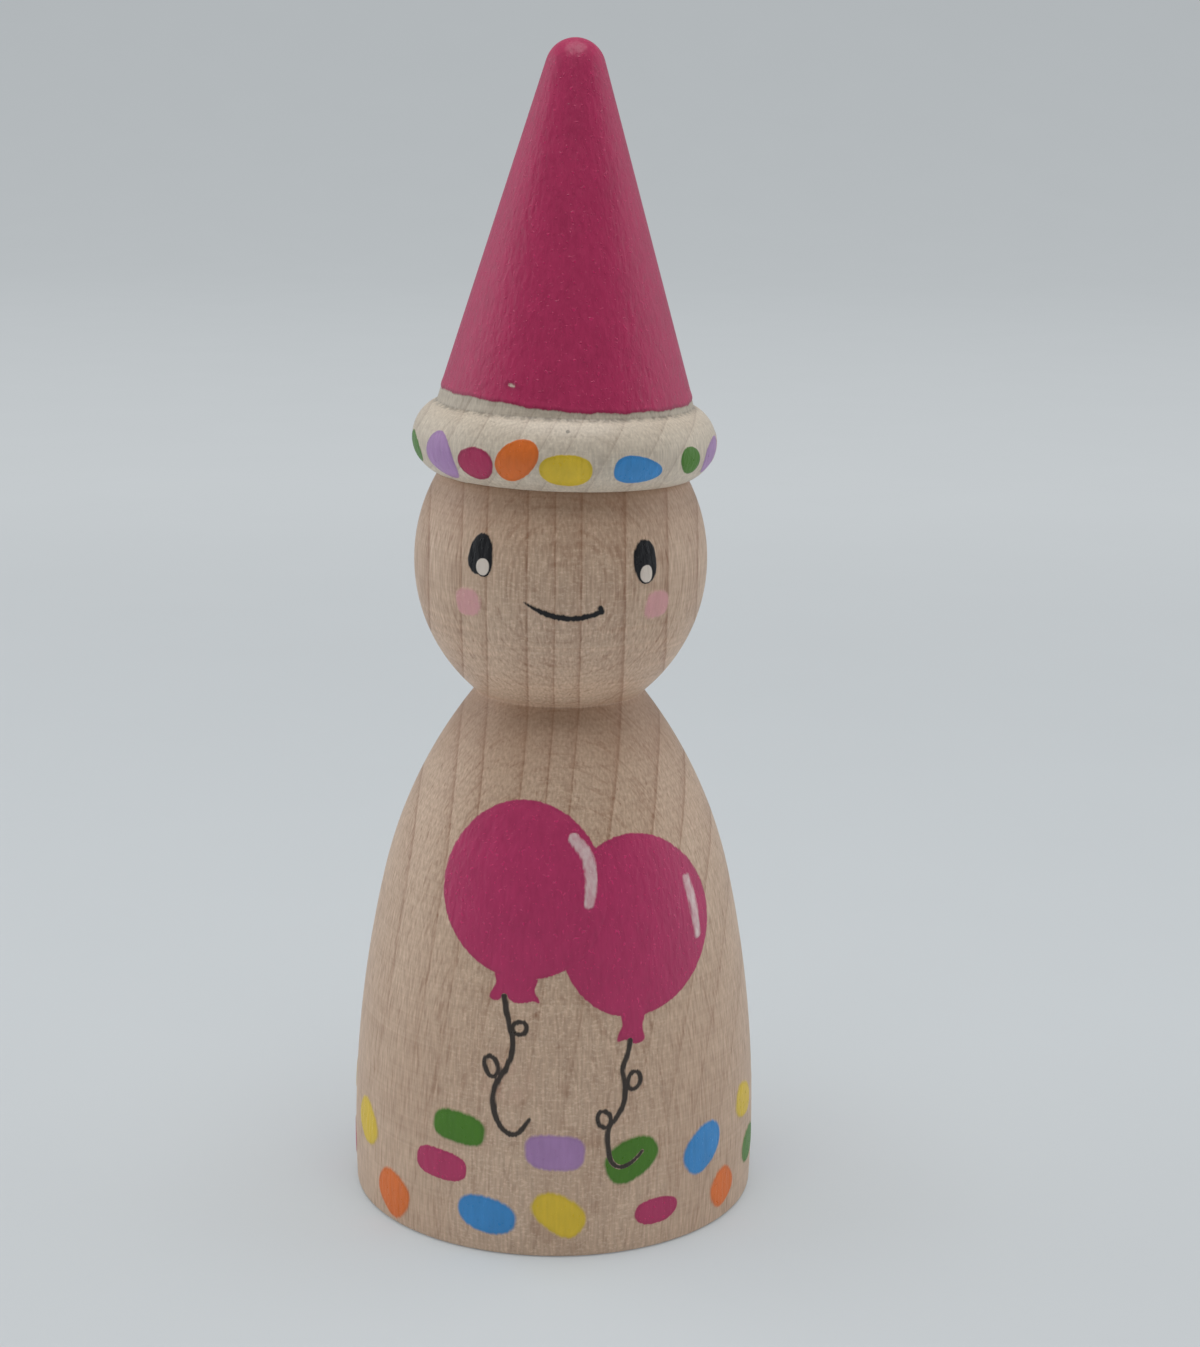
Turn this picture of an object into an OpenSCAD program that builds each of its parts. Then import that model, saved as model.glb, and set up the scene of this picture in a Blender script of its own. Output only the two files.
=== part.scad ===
/* [Peg] */
// Radius of the body at its widest, near the foot
body_r = 20.5; // [19:0.1:22]
// Height of the widest place above the foot
belly_z = 5.7; // [4:0.1:8]
// Radius of the long curve up the side
belly_arc_r = 123; // [110:1:140]
// Height at which the side starts to turn in to the neck
shoulder_z = 33; // [31:0.5:35]
// Height of the neck crease
neck_z = 52; // [50.5:0.5:54]
// Radius of the neck crease
neck_r = 8.3; // [7.8:0.1:9]
// Radius of the head at its widest
head_r = 14.45; // [13.8:0.05:15.2]
// Radius of the head's side curve
head_arc_r = 17; // [16.5:0.1:17.8]
// Radius of the small flat on the crown, hidden under the hat
crown_flat_r = 3; // [2:0.5:5]
// Chamfer that breaks the edge of the foot
foot_break = 0.4; // [0.2:0.1:0.8]

/* [Hat] */
// Height of the brim's underside above the head's widest place
hat_seat_rise = 8.7; // [8.2:0.1:9.2]
// Height of the hat from its underside to its tip
hat_h = 41.2; // [38:0.2:46]
// Radius of the rolled brim's section
bead_r = 3.7; // [3.5:0.1:4]
// Height of the middle of the rolled brim above its underside
bead_rise = 3.3; // [3:0.1:3.4]
// Width of the flat lip between the hollow and the outside of the brim
brim_lip = 0.45; // [0.3:0.05:0.8]
// How far outside the middle of the rolled brim the cone stands
cone_out = 1.4; // [1:0.1:1.8]
// Radius of the rounded tip
tip_r = 2.85; // [2.4:0.05:3.4]
// Lean of the hat towards the doll's left hand, in degrees
hat_lean = 1; // [0:0.5:2]
// Gap all over between the crown of the head and the hollow in the hat
seat_gap = 0.25; // [0.15:0.05:0.4]

/* [Cone coat and brim dots] */
// Thickness of one coat of paint
coat_t = 0.12; // [0.08:0.02:0.2]
// Gap that keeps the curved faces of a coat and of what it covers apart
coat_gap = 0.03; // [0.02:0.01:0.05]
// Height of bare wood left between the rolled brim and the coat on the cone
bare_band = 1.1; // [0.8:0.1:2]
// How far the hand-cut edge of that coat wanders up and down
edge_wander = 0.4; // [0:0.1:0.5]
// Length of a typical dot on the brim
dot_l = 4.8; // [4:0.1:5.2]
// Breadth of a typical dot on the brim
dot_w = 3.1; // [2.4:0.1:3.4]

/* [Face] */
// Turn of the face away from straight ahead, in degrees
face_turn = 1; // [-5:0.5:5]
// Half the angle between the eyes, in degrees
eye_spread = 32.8; // [28:0.2:38]
// Height of the right eye above the head's widest place
eye_rise = 2.6; // [1.5:0.1:3.2]
// How much lower the doll's left eye sits
eye_drop = 0.55; // [0:0.05:0.8]
// Width of an eye
eye_w = 2.75; // [2.2:0.05:3.2]
// Height of an eye
eye_h = 4.05; // [3.4:0.05:4.6]
// How far the eyes lean in at the top, in degrees
eye_tilt = 2; // [1:0.5:6]
// Diameter of the light spot low in each eye
glint_d = 1.45; // [1:0.05:1.8]
// How far the right eye's light spot sits towards the nose
glint_shift = 0.35; // [0:0.05:0.4]
// Width of black left below a light spot
glint_rim = 0.12; // [0.08:0.02:0.3]
// Half the angle between the cheeks, in degrees
cheek_spread = 38.8; // [34:0.2:44]
// How far the cheeks sit below the head's widest place
cheek_drop = 2.1; // [1.9:0.1:3.2]
// Diameter of a cheek
cheek_d = 2.6; // [2:0.05:2.8]
// Width of the smile
smile_w = 7.2; // [6:0.1:8.5]
// How far the smile's lowest point sits below the head's widest place
smile_drop = 3; // [2.4:0.1:4]
// Depth of the smile's curve
smile_sag = 1; // [0.5:0.1:1.6]
// How much higher the smile's right end sits than its middle would put it
smile_slant = 0.43; // [0:0.01:0.6]
// Width of the smile's line
smile_t = 0.5; // [0.4:0.05:0.7]

/* [Balloons] */
// Turn of the pair of balloons away from straight ahead, in degrees
bunch_turn = 8; // [-10:1:15]
// Height of the middle of the pair
bunch_z = 33.9; // [33:0.1:35]
// Distance from one balloon's middle to the other's, sideways
bunch_spread = 10.8; // [10:0.1:12]
// Distance from one balloon's middle to the other's, up and down
bunch_step = 3.7; // [2:0.1:5]
// Width of the right balloon
balloon_w = 15; // [13:0.1:15.5]
// Height of the right balloon
balloon_h = 16.9; // [15:0.1:17.4]
// Width of the frilled end below a balloon
knot_w = 3.8; // [3:0.1:4.4]
// Height of the frilled end
knot_h = 2.1; // [1.8:0.1:2.6]
// Height that the right string hangs over
string_h = 13.4; // [12:0.1:13.8]
// Width of a string's line
string_w = 0.52; // [0.4:0.02:0.7]
// Radius of a curl in a string
curl_r = 0.78; // [0.6:0.02:0.95]
// Width of the light stroke on a balloon
shine_w = 1.1; // [0.7:0.05:1.4]

/* [Confetti] */
// Height of the top row of confetti above the foot
confetti_h = 13; // [12.4:0.1:14]
// Length of a typical dab
dab_l = 5.8; // [5:0.1:6]
// Breadth of a typical dab
dab_w = 3.6; // [3:0.1:3.8]

/* [Hidden] */

// Facets of round things
$fn = 96;
// Points around one small mark, and around a balloon and the coat's lower edge
MARK_POINTS = 24;
LONG_EDGE_POINTS = 36;
// Steps between two neighbouring points of a smoothed line, and the angle between points of its end
LINE_STEPS = 5;
END_STEP = 30;
// Steps in each half of the smile and of a balloon's frilled end
SMILE_STEPS = 8;
FRILL_STEPS = 4;
// Overrun of cutting shapes past what they cut
over = 1;

GREEN = 0;
LILAC = 1;
PINK = 2;
ORANGE = 3;
YELLOW = 4;
BLUE = 5;
COLOURS = ["#4f8a35", "#b294c9", "#b8386a", "#e07a33", "#dcc14a", "#3f93c8"];
BEECH = "#c9ab8c";
MAPLE = "#e3dac9";
BLACK = "#26262a";
CHEEK_PINK = "#d59a9c";
OFF_WHITE = "#e6ddd8";
STRING_GREY = "#4a4442";

// Peg: two arcs that run into each other up the side, and a third for the head
belly_cx = body_r - belly_arc_r;
shoulder_turn = asin((shoulder_z - belly_z) / belly_arc_r);
shoulder_n = [cos(shoulder_turn), sin(shoulder_turn)];
shoulder_r = belly_cx + belly_arc_r * shoulder_n.x;
to_neck = [neck_r - shoulder_r, neck_z - shoulder_z];
shoulder_arc_r = -(to_neck * to_neck) / (2 * to_neck * shoulder_n);
shoulder_c = [shoulder_r, shoulder_z] - shoulder_arc_r * shoulder_n;
foot_r = belly_cx + sqrt(pow(belly_arc_r, 2) - pow(belly_z, 2));
head_cx = head_r - head_arc_r;
head_z = neck_z + sqrt(pow(head_arc_r, 2) - pow(neck_r - head_cx, 2));
crown_z = head_z + sqrt(pow(head_arc_r, 2) - pow(crown_flat_r - head_cx, 2));

// Hat: the brim is set out from the mouth of the hollow, the cone from the brim
seat_z = head_z + hat_seat_rise;
mouth_r = head_cx + sqrt(pow(head_arc_r + seat_gap, 2) - pow(hat_seat_rise, 2));
bead_c = mouth_r + brim_lip - sqrt(pow(bead_r, 2) - pow(bead_rise, 2));
bead_z = seat_z + bead_rise;
cone_foot = [bead_c + cone_out, bead_z + sqrt(pow(bead_r, 2) - pow(cone_out, 2))];
tip_z = seat_z + hat_h - tip_r;
foot_to_tip = norm([cone_foot.x, cone_foot.y - tip_z]);
cone_turn = atan2(cone_foot.y - tip_z, cone_foot.x) + acos(tip_r / foot_to_tip);
cone_n = [cos(cone_turn), sin(cone_turn)];
coat_z = cone_foot.y + bare_band;

// Radius just outside the doll, where outlines are cut off and marks are pressed in from
press_r = body_r + over;

// Brim dots seen from the front: turn, then shares of bead_r, dot_l, dot_w, and tilt
front_dot_shares = [
    [-73, -0.20, 0.85, 0.85, -20],
    [-54, -0.26, 1.12, 0.95, -33],
    [-34.5, -0.26, 0.85, 1.00, 5],
    [-17.6, -0.04, 1.00, 1.06, 38],
    [0.8, -0.27, 1.00, 1.00, -3],
    [28.4, -0.27, 1.08, 0.84, -5],
    [55, -0.18, 0.83, 0.85, -20],
    [74, -0.14, 1.00, 0.90, 20]
];
// The rest of the ring carries on with the same six colours
BACK_DOTS = 10;
back_dot_gap = (360 + front_dot_shares[0][0] - front_dot_shares[7][0]) / (BACK_DOTS + 1);
back_dot_shares = [
    for (i = [1 : BACK_DOTS])
        [front_dot_shares[7][0] + i * back_dot_gap, -0.2 + 0.08 * sin(100 * i),
            0.94 + 0.08 * sin(150 * i), 0.94 + 0.06 * cos(110 * i), 28 * sin(140 * i)]
];
dot_shares = concat(front_dot_shares, back_dot_shares);

// Confetti seen from the front: colour, turn, then shares of confetti_h, dab_l, dab_w, and tilt
front_dab_shares = [
    [YELLOW, -67, 0.68, 0.95, 1.00, -38],
    [GREEN, -27, 0.96, 0.95, 0.98, 3],
    [LILAC, 0.4, 0.84, 0.98, 1.00, -3],
    [GREEN, 21.8, 0.75, 1.00, 1.15, 22],
    [BLUE, 46.2, 0.69, 1.05, 1.05, 28],
    [YELLOW, 70, 0.85, 0.90, 1.00, -15],
    [GREEN, 75.5, 0.43, 0.90, 0.95, 10],
    [PINK, -32.5, 0.64, 0.97, 0.96, 3],
    [ORANGE, -51, 0.24, 0.95, 1.05, -33],
    [BLUE, -18.5, 0.31, 1.00, 1.08, -8],
    [YELLOW, 1.6, 0.35, 0.98, 1.06, -40],
    [PINK, 29.5, 0.30, 0.86, 0.90, 8],
    [ORANGE, 55.4, 0.28, 0.90, 1.00, 35]
];
// Two rows of dabs carry on round the back: first turn, gap, count, share of confetti_h, first colour
back_row_shares = [
    [98, 24.5, 8, 0.79, ORANGE],
    [99, 26.25, 8, 0.32, LILAC]
];
back_dab_shares = [
    for (row = back_row_shares)
        for (i = [0 : row[2] - 1])
            [(row[4] + i) % len(COLOURS), row[0] + i * row[1], row[3] + 0.09 * sin(130 * i),
                0.95 + 0.06 * sin(200 * i), 1 + 0.06 * cos(170 * i), 34 * sin(110 * i + 25)]
];
dab_shares = concat(front_dab_shares, back_dab_shares);

// How pointed the dots, the dabs, the almond eye and the oval eye are at one end
dot_point_share = 0.1;
dab_point_share = 0.12;
almond_share = 0.28;
oval_share = 0.08;
// How thin the smile and the light strokes start
smile_start_share = 0.3;
shine_start_share = 0.6;

// Light strokes, as shares of half a balloon's width and height from its middle
shine_right_shares = [[0.71, -0.17], [0.785, 0.12], [0.755, 0.355], [0.56, 0.58]];
shine_left_shares = [[0.87, -0.25], [0.80, 0.09], [0.70, 0.41]];
// How slim the left balloon's stroke is next to the right one's
shine_slim_share = 0.7;

// Course of a string and the middles of its two curls, as shares of string_h from its top
string_shares = [
    [0, 0], [0.005, -0.12], [0.01, -0.24], [0.015, -0.36], [-0.04, -0.49], [-0.095, -0.61],
    [-0.12, -0.74], [-0.1, -0.87], [-0.035, -0.965], [0.04, -0.98], [0.127, -0.86]
];
curl_shares = [[0.072, -0.2], [-0.13, -0.495]];
// How far the left string kicks aside below its balloon, and where it has done so
kick_share = 0.11;
kick_end_share = 0.16;
// Height of the left string as a share of the right one's
left_string_share = 0.94;

// Balloon tilts, in degrees, and how much narrower each is above its middle
TILT_RIGHT = -11;
TILT_LEFT = -4;
right_point_share = 0.1;
left_point_share = 0.2;
// Width and height of the left balloon as shares of the right one's
left_size_shares = [0.92, 1.035];
// Share of the pair's spread that lies to the right of its turn
right_spread_share = 0.445;
// Narrow top of the frilled end, and the depth of its frill
knot_neck_share = 0.42;
frill_share = 0.14;

// Outline of a round mark that narrows towards +X by a share of its breadth
function blob(l, w, point_share, points = MARK_POINTS) = [
    for (i = [0 : points - 1])
        let (a = 360 * i / points)
        [l / 2 * cos(a), w / 2 * sin(a) * (1 - point_share * cos(a))]
];

// One point of a smooth line through four neighbours, a share s of the way from b to c
function spline_point(a, b, c, d, s) =
    (2 * b + (c - a) * s + (2 * a - 5 * b + 4 * c - d) * pow(s, 2)
        + (3 * b - a - 3 * c + d) * pow(s, 3)) / 2;

// A smooth line through every point given
function smooth(points) =
    let (last = len(points) - 1)
    concat(
        [for (i = [0 : last - 1])
            for (k = [0 : LINE_STEPS - 1])
                spline_point(points[max(i - 1, 0)], points[i], points[i + 1],
                    points[min(i + 2, last)], k / LINE_STEPS)],
        [points[last]]
    );

// Unit direction across a line at one of its points
function across(line, i) =
    let (d = line[min(i + 1, len(line) - 1)] - line[max(i - 1, 0)])
    [-d.y, d.x] / norm(d);

// A stroke of a brush along a line, thinned at its start to a share of its width, round at its end
module stroke(line, width, start_share = 1) {
    last = len(line) - 1;
    halves = [for (i = [0 : last]) width / 2 * min(1, start_share + 3 * (1 - start_share) * i / last)];
    side = across(line, last);
    ahead = [side.y, -side.x];
    polygon(concat(
        [for (i = [0 : last]) line[i] + halves[i] * across(line, i)],
        [for (a = [END_STEP : END_STEP : 180 - END_STEP])
            line[last] + width / 2 * (cos(a) * side + sin(a) * ahead)],
        [for (i = [last : -1 : 0]) line[i] - halves[i] * across(line, i)]
    ));
}

// Half of the body's outline, grown outwards and cut off at a height
module body_side(grow, top_z) {
    joint_z = shoulder_z + grow * shoulder_n.y;
    intersection() {
        translate([belly_cx, belly_z]) circle(r = belly_arc_r + grow);
        square([press_r, joint_z]);
    }
    intersection() {
        translate(shoulder_c) circle(r = shoulder_arc_r + grow);
        translate([0, joint_z]) square([press_r, top_z - joint_z]);
    }
}

// Half of the head's outline from a height up to the crown, grown outwards
module head_side(grow, from_z) {
    intersection() {
        translate([head_cx, head_z]) circle(r = head_arc_r + grow);
        translate([0, from_z]) square([press_r, crown_z + grow - from_z]);
    }
}

// Half of the cone's outline, grown outwards, from a height upwards
module cone_side(grow, from_z) {
    reach = tip_r + grow;
    slope = cone_n.y / cone_n.x;
    touch = [0, tip_z] + reach * cone_n;
    polygon([[0, from_z], [touch.x + slope * (touch.y - from_z), from_z], touch, [0, touch.y]]);
    intersection() {
        translate([0, tip_z]) circle(r = reach);
        translate([0, touch.y]) square(reach);
    }
}

// Half of the rolled brim's outline, grown outwards
module bead_side(grow) {
    intersection() {
        translate([bead_c, bead_z]) circle(r = bead_r + grow);
        translate([0, seat_z]) square([bead_c + bead_r + over, bead_rise + bead_r + over]);
    }
}

// How far the inner and outer faces of a coat stand off the wood, counting coats from 0
function coat_in(coat) = coat_gap + coat * (coat_gap + coat_t);
function coat_out(coat) = coat_in(coat) + coat_t;

// Skins of even thickness that follow the wood from a first to a last coat, and are cut to marks
module body_skin(first = 0, last = 0) {
    rotate_extrude() difference() {
        body_side(coat_out(last), neck_z);
        body_side(coat_in(first), neck_z + over);
    }
}

module head_skin(first = 0, last = 0) {
    rotate_extrude() intersection() {
        difference() {
            head_side(coat_out(last), neck_z);
            head_side(coat_in(first), neck_z - over);
        }
        translate([0, neck_z + over]) square([press_r, seat_z - neck_z - over]);
    }
}

module brim_skin() {
    rotate_extrude() intersection() {
        difference() {
            bead_side(coat_out(0));
            bead_side(coat_in(0));
        }
        translate([bead_c, seat_z]) square([bead_r + over, bead_rise + bead_r]);
    }
}

// Tips the hat about the middle of the head
module leaned() {
    translate([0, 0, head_z]) rotate([0, hat_lean, 0]) translate([0, 0, -head_z]) children();
}

// Turns a mark made at the front round towards the doll's left hand
module turned(turn) {
    rotate([0, 0, turn]) children();
}

// A flat outline pressed through the front of the doll
module pressed() {
    rotate([90, 0, 0]) linear_extrude(press_r) children();
}

module peg_body() {
    color(BEECH) rotate_extrude() {
        difference() {
            body_side(0, neck_z + over);
            polygon([[foot_r - foot_break - over, -over], [foot_r + over, -over],
                [foot_r + over, foot_break + over]]);
        }
        head_side(0, neck_z - over);
    }
}

module hat() {
    color(MAPLE) leaned() rotate_extrude() difference() {
        union() {
            bead_side(0);
            cone_side(0, bead_z);
            translate([0, seat_z]) square([bead_c, bead_rise]);
        }
        head_side(seat_gap, seat_z - over);
    }
}

// The hand-cut lower edge of the cone's coat, as a closed shape from there to above the tip
module above_edge() {
    r = cone_foot.x + over;
    top = seat_z + hat_h + over;
    n = LONG_EDGE_POINTS;
    turns = [for (i = [0 : n - 1]) 360 * i / n];
    low = [for (a = turns) [r * sin(a), -r * cos(a),
        coat_z - edge_wander * (cos(a - 37) + cos(2 * a - 70) / 2 + cos(5 * a) / 6)]];
    high = [for (a = turns) [r * sin(a), -r * cos(a), top]];
    polyhedron(
        concat(low, high, [[0, 0, coat_z], [0, 0, top]]),
        concat(
            [for (i = [0 : n - 1]) [i, (i + 1) % n, 2 * n]],
            [for (i = [0 : n - 1]) [n + (i + 1) % n, n + i, 2 * n + 1]],
            [for (i = [0 : n - 1]) [(i + 1) % n, i, n + i]],
            [for (i = [0 : n - 1]) [(i + 1) % n, n + i, n + (i + 1) % n]]
        )
    );
}

module hat_cone_coat() {
    color(COLOURS[PINK]) leaned() intersection() {
        rotate_extrude() difference() {
            cone_side(coat_out(0), cone_foot.y);
            cone_side(coat_in(0), cone_foot.y - over);
        }
        above_edge();
    }
}

module brim_dots(colour) {
    color(COLOURS[colour]) leaned() {
        for (i = [colour : len(COLOURS) : len(dot_shares) - 1]) {
            dot = dot_shares[i];
            turned(dot[0]) intersection() {
                brim_skin();
                pressed() translate([0, bead_z + dot[1] * bead_r]) rotate(dot[4])
                    polygon(blob(dot[2] * dot_l, dot[3] * dot_w, dot_point_share));
            }
        }
    }
}

// Outline of an eye, with its top drawn to a point by a share of its width
module eye_outline(point_share) {
    rotate(90) polygon(blob(eye_h, eye_w, point_share));
}

module glint_outline(side) {
    translate([side < 0 ? glint_shift : 0, (glint_d - eye_h) / 2 + glint_rim]) circle(d = glint_d);
}

// Side is -1 for the doll's right and 1 for its left
module at_eye(side) {
    translate([0, head_z + eye_rise - (side > 0 ? eye_drop : 0)]) rotate(side * eye_tilt) children();
}

module eye(side, point_share) {
    color(BLACK) turned(face_turn + side * eye_spread) difference() {
        intersection() {
            head_skin();
            pressed() at_eye(side) eye_outline(point_share);
        }
        pressed() at_eye(side) glint_outline(side);
    }
}

module eye_glint(side) {
    color(OFF_WHITE) turned(face_turn + side * eye_spread) intersection() {
        head_skin(0, 1);
        pressed() at_eye(side) glint_outline(side);
    }
}

module cheek(side) {
    color(CHEEK_PINK) turned(face_turn + side * cheek_spread) intersection() {
        head_skin();
        pressed() translate([0, head_z - cheek_drop]) circle(d = cheek_d);
    }
}

module smile() {
    line = [
        for (i = [-SMILE_STEPS : SMILE_STEPS])
            let (s = i / SMILE_STEPS)
            [s * smile_w / 2, head_z - smile_drop + smile_sag * pow(s, 2) - smile_slant * s]
    ];
    color(BLACK) turned(face_turn) intersection() {
        head_skin();
        pressed() stroke(line, smile_t, smile_start_share);
    }
}

// Size, middle and tilt of a balloon, on side -1 for the doll's right and 1 for its left
function balloon_size(side) =
    side < 0 ? [balloon_w, balloon_h] : [balloon_w * left_size_shares.x, balloon_h * left_size_shares.y];
function balloon_c(side) =
    [bunch_spread * ((side + 1) / 2 - right_spread_share), bunch_z - side * bunch_step / 2];
function tilt(side) = side < 0 ? TILT_RIGHT : TILT_LEFT;

module balloon_outline(side) {
    size = balloon_size(side);
    half_neck = knot_w * knot_neck_share / 2;
    translate(balloon_c(side)) rotate(tilt(side)) {
        rotate(90) polygon(blob(size.y, size.x, side < 0 ? right_point_share : left_point_share,
            LONG_EDGE_POINTS));
        translate([0, -size.y / 2]) polygon(concat(
            [[half_neck, knot_h * frill_share], [-half_neck, knot_h * frill_share]],
            [for (i = [-FRILL_STEPS : FRILL_STEPS])
                let (s = i / FRILL_STEPS)
                [s * knot_w / 2, -knot_h * (1 - frill_share * abs(sin(270 * s)))]]
        ));
    }
}

// The right balloon floats in front of the left one
module balloon(side) {
    color(COLOURS[PINK]) turned(bunch_turn) intersection() {
        body_skin();
        pressed() difference() {
            balloon_outline(side);
            if (side > 0) {
                balloon_outline(-side);
            }
        }
    }
}

module balloon_shine(side) {
    shares = side < 0 ? shine_right_shares : shine_left_shares;
    width = shine_w * (side < 0 ? 1 : shine_slim_share);
    size = balloon_size(side);
    line = smooth([for (p = shares) balloon_c(side) + [p.x * size.x, p.y * size.y] / 2]);
    color(OFF_WHITE) turned(bunch_turn) intersection() {
        body_skin(1, 1);
        pressed() stroke(line, width, shine_start_share);
    }
}

// Where a string leaves its balloon, and how far it has kicked aside at a share of its drop
function string_top(side) =
    let (drop = balloon_size(side).y / 2 + knot_h * (1 - frill_share))
    balloon_c(side) + drop * [sin(tilt(side)), -cos(tilt(side))];
function kick(side, down_share) = side < 0 ? 0 : kick_share * min(1, down_share / kick_end_share);
function on_string(side, p) =
    string_top(side) + string_h * [p.x - kick(side, -p.y), p.y * (side < 0 ? 1 : left_string_share)];

// A string's line and its curls, pressed through one by one and joined there
module pressed_string(side) {
    pressed() stroke(smooth([for (p = string_shares) on_string(side, p)]), string_w);
    for (p = curl_shares) {
        pressed() translate(on_string(side, p)) difference() {
            circle(r = curl_r + string_w / 2);
            circle(r = curl_r - string_w / 2);
        }
    }
}

module balloon_string(side) {
    color(STRING_GREY) turned(bunch_turn) difference() {
        intersection() {
            body_skin();
            pressed_string(side);
        }
        pressed() balloon_outline(side);
    }
}

// Dabs stop at a string that is drawn across them
module confetti(colour) {
    color(COLOURS[colour]) difference() {
        for (dab = dab_shares) {
            if (dab[0] == colour) {
                turned(dab[1]) intersection() {
                    body_skin();
                    pressed() translate([0, dab[2] * confetti_h]) rotate(dab[5])
                        polygon(blob(dab[3] * dab_l, dab[4] * dab_w, dab_point_share));
                }
            }
        }
        for (side = [-1, 1]) {
            turned(bunch_turn) pressed_string(side);
        }
    }
}

peg_body();
hat();
hat_cone_coat();
brim_dots(GREEN);  // brim_dots_green
brim_dots(LILAC);  // brim_dots_lilac
brim_dots(PINK);  // brim_dots_pink
brim_dots(ORANGE);  // brim_dots_orange
brim_dots(YELLOW);  // brim_dots_yellow
brim_dots(BLUE);  // brim_dots_blue
eye(-1, almond_share);  // eye_right
eye(1, oval_share);  // eye_left
eye_glint(-1);  // eye_glint_right
eye_glint(1);  // eye_glint_left
cheek(-1);  // cheek_right
cheek(1);  // cheek_left
smile();
balloon(-1);  // balloon_right
balloon(1);  // balloon_left
balloon_shine(-1);  // balloon_shine_right
balloon_shine(1);  // balloon_shine_left
balloon_string(-1);  // balloon_string_right
balloon_string(1);  // balloon_string_left
confetti(GREEN);  // confetti_green
confetti(LILAC);  // confetti_lilac
confetti(PINK);  // confetti_pink
confetti(ORANGE);  // confetti_orange
confetti(YELLOW);  // confetti_yellow
confetti(BLUE);  // confetti_blue
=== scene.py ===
import math
from typing import NamedTuple

import bpy
import numpy as np
from mathutils import Matrix, Vector


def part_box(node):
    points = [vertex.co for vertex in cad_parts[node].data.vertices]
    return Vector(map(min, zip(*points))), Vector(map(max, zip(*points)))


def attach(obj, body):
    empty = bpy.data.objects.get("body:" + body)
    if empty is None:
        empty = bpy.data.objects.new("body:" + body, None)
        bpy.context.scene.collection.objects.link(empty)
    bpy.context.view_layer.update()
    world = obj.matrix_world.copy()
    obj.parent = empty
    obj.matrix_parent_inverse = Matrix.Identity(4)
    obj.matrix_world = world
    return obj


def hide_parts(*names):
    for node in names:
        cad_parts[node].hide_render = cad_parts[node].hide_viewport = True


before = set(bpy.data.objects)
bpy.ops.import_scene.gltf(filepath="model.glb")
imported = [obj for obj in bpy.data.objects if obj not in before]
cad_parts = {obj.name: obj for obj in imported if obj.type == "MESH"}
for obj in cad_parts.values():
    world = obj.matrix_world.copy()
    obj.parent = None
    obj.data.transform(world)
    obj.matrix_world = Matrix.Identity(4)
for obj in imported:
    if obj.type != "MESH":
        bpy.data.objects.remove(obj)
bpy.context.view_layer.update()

bl_info = {
    "name": "Peg Doll",
    "version": (1, 0, 0),
    "blender": (4, 5, 0),
    "location": "3D Viewport > Sidebar > Peg Doll",
    "description": "Dresses a turned wooden peg doll with its hat and its painted marks",
    "category": "Add Mesh",
}

MM = 0.001
RIGHT, LEFT = -1, 1
SIDES = {"right": RIGHT, "left": LEFT}
COLOURS = ["green", "lilac", "pink", "orange", "yellow", "blue"]
GREEN, LILAC, PINK, ORANGE, YELLOW, BLUE = range(6)

# Dots on the brim, in the order of the colours: turn in degrees, then shares of the bead's radius,
# a dot's length and breadth, the tilt in degrees, and how pointed and how boxy the dot is
BRIM_DOT_SHARES = [
    (-76, -0.20, 0.85, 0.85, -20, 0.1, 0.1),
    (-52.5, -0.24, 0.98, 1.28, -38, 0.28, 0.1),
    (-34.5, -0.26, 0.85, 1.00, 5, 0.0, 0.0),
    (-17.6, -0.08, 1.00, 1.06, 38, 0.0, 0.05),
    (0.8, -0.27, 1.02, 0.98, -3, 0.0, 0.12),
    (28.4, -0.27, 1.08, 0.84, -5, 0.2, 0.1),
    (54.5, -0.16, 0.74, 0.80, -20, 0.05, 0.0),
    (74, -0.14, 1.00, 0.90, 20, 0.1, 0.2),
]
# How many more dots go on round the back
BACK_DOTS = 10

# Edges of the growth rings across the head, as shares of the body's radius
RING_SHARES = [
    -1.24, -1.07, -0.91, -0.77, -0.62, -0.45, -0.33, -0.146, -0.024, 0.093, 0.30, 0.50, 0.645, 0.81,
    0.95, 1.09, 1.24,
]
# How far out the curve that counts the rings reaches, as such a share
RING_REACH = 1.3

# Dabs at the front: colour, turn in degrees, shares of the confetti's height, a dab's length and
# breadth, the tilt in degrees, and how pointed and how boxy the dab is
FRONT_DAB_SHARES = [
    (YELLOW, -66, 0.68, 0.86, 1.18, -38, 0.1, 0.15),
    (GREEN, -27, 0.96, 0.96, 0.90, -5, 0.0, 0.45),
    (LILAC, 0.4, 0.84, 1.00, 0.98, -3, 0.0, 0.55),
    (GREEN, 21.8, 0.75, 1.00, 1.12, 24, 0.08, 0.2),
    (BLUE, 46.2, 0.69, 0.97, 1.20, 33, 0.12, 0.15),
    (YELLOW, 70, 0.85, 0.80, 1.00, -15, 0.1, 0.2),
    (GREEN, 75.5, 0.43, 0.85, 0.95, 10, 0.1, 0.2),
    (PINK, -32.5, 0.64, 1.02, 0.84, -4, 0.0, 0.4),
    (ORANGE, -51, 0.25, 0.84, 1.32, -33, -0.05, 0.25),
    (BLUE, -18.5, 0.31, 1.02, 1.05, -8, -0.05, 0.15),
    (YELLOW, 1.6, 0.35, 0.98, 1.02, -35, -0.05, 0.25),
    (PINK, 29.5, 0.30, 0.84, 0.75, 0, 0.0, 0.15),
    (ORANGE, 55.4, 0.28, 0.68, 1.10, 35, -0.05, 0.25),
]
# Rows of dabs round the back: first turn, gap, count, share of the height, first colour
BACK_ROW_SHARES = [
    (98, 24, 8, 0.79, ORANGE),
    (97, 25, 8, 0.33, LILAC),
]

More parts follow.
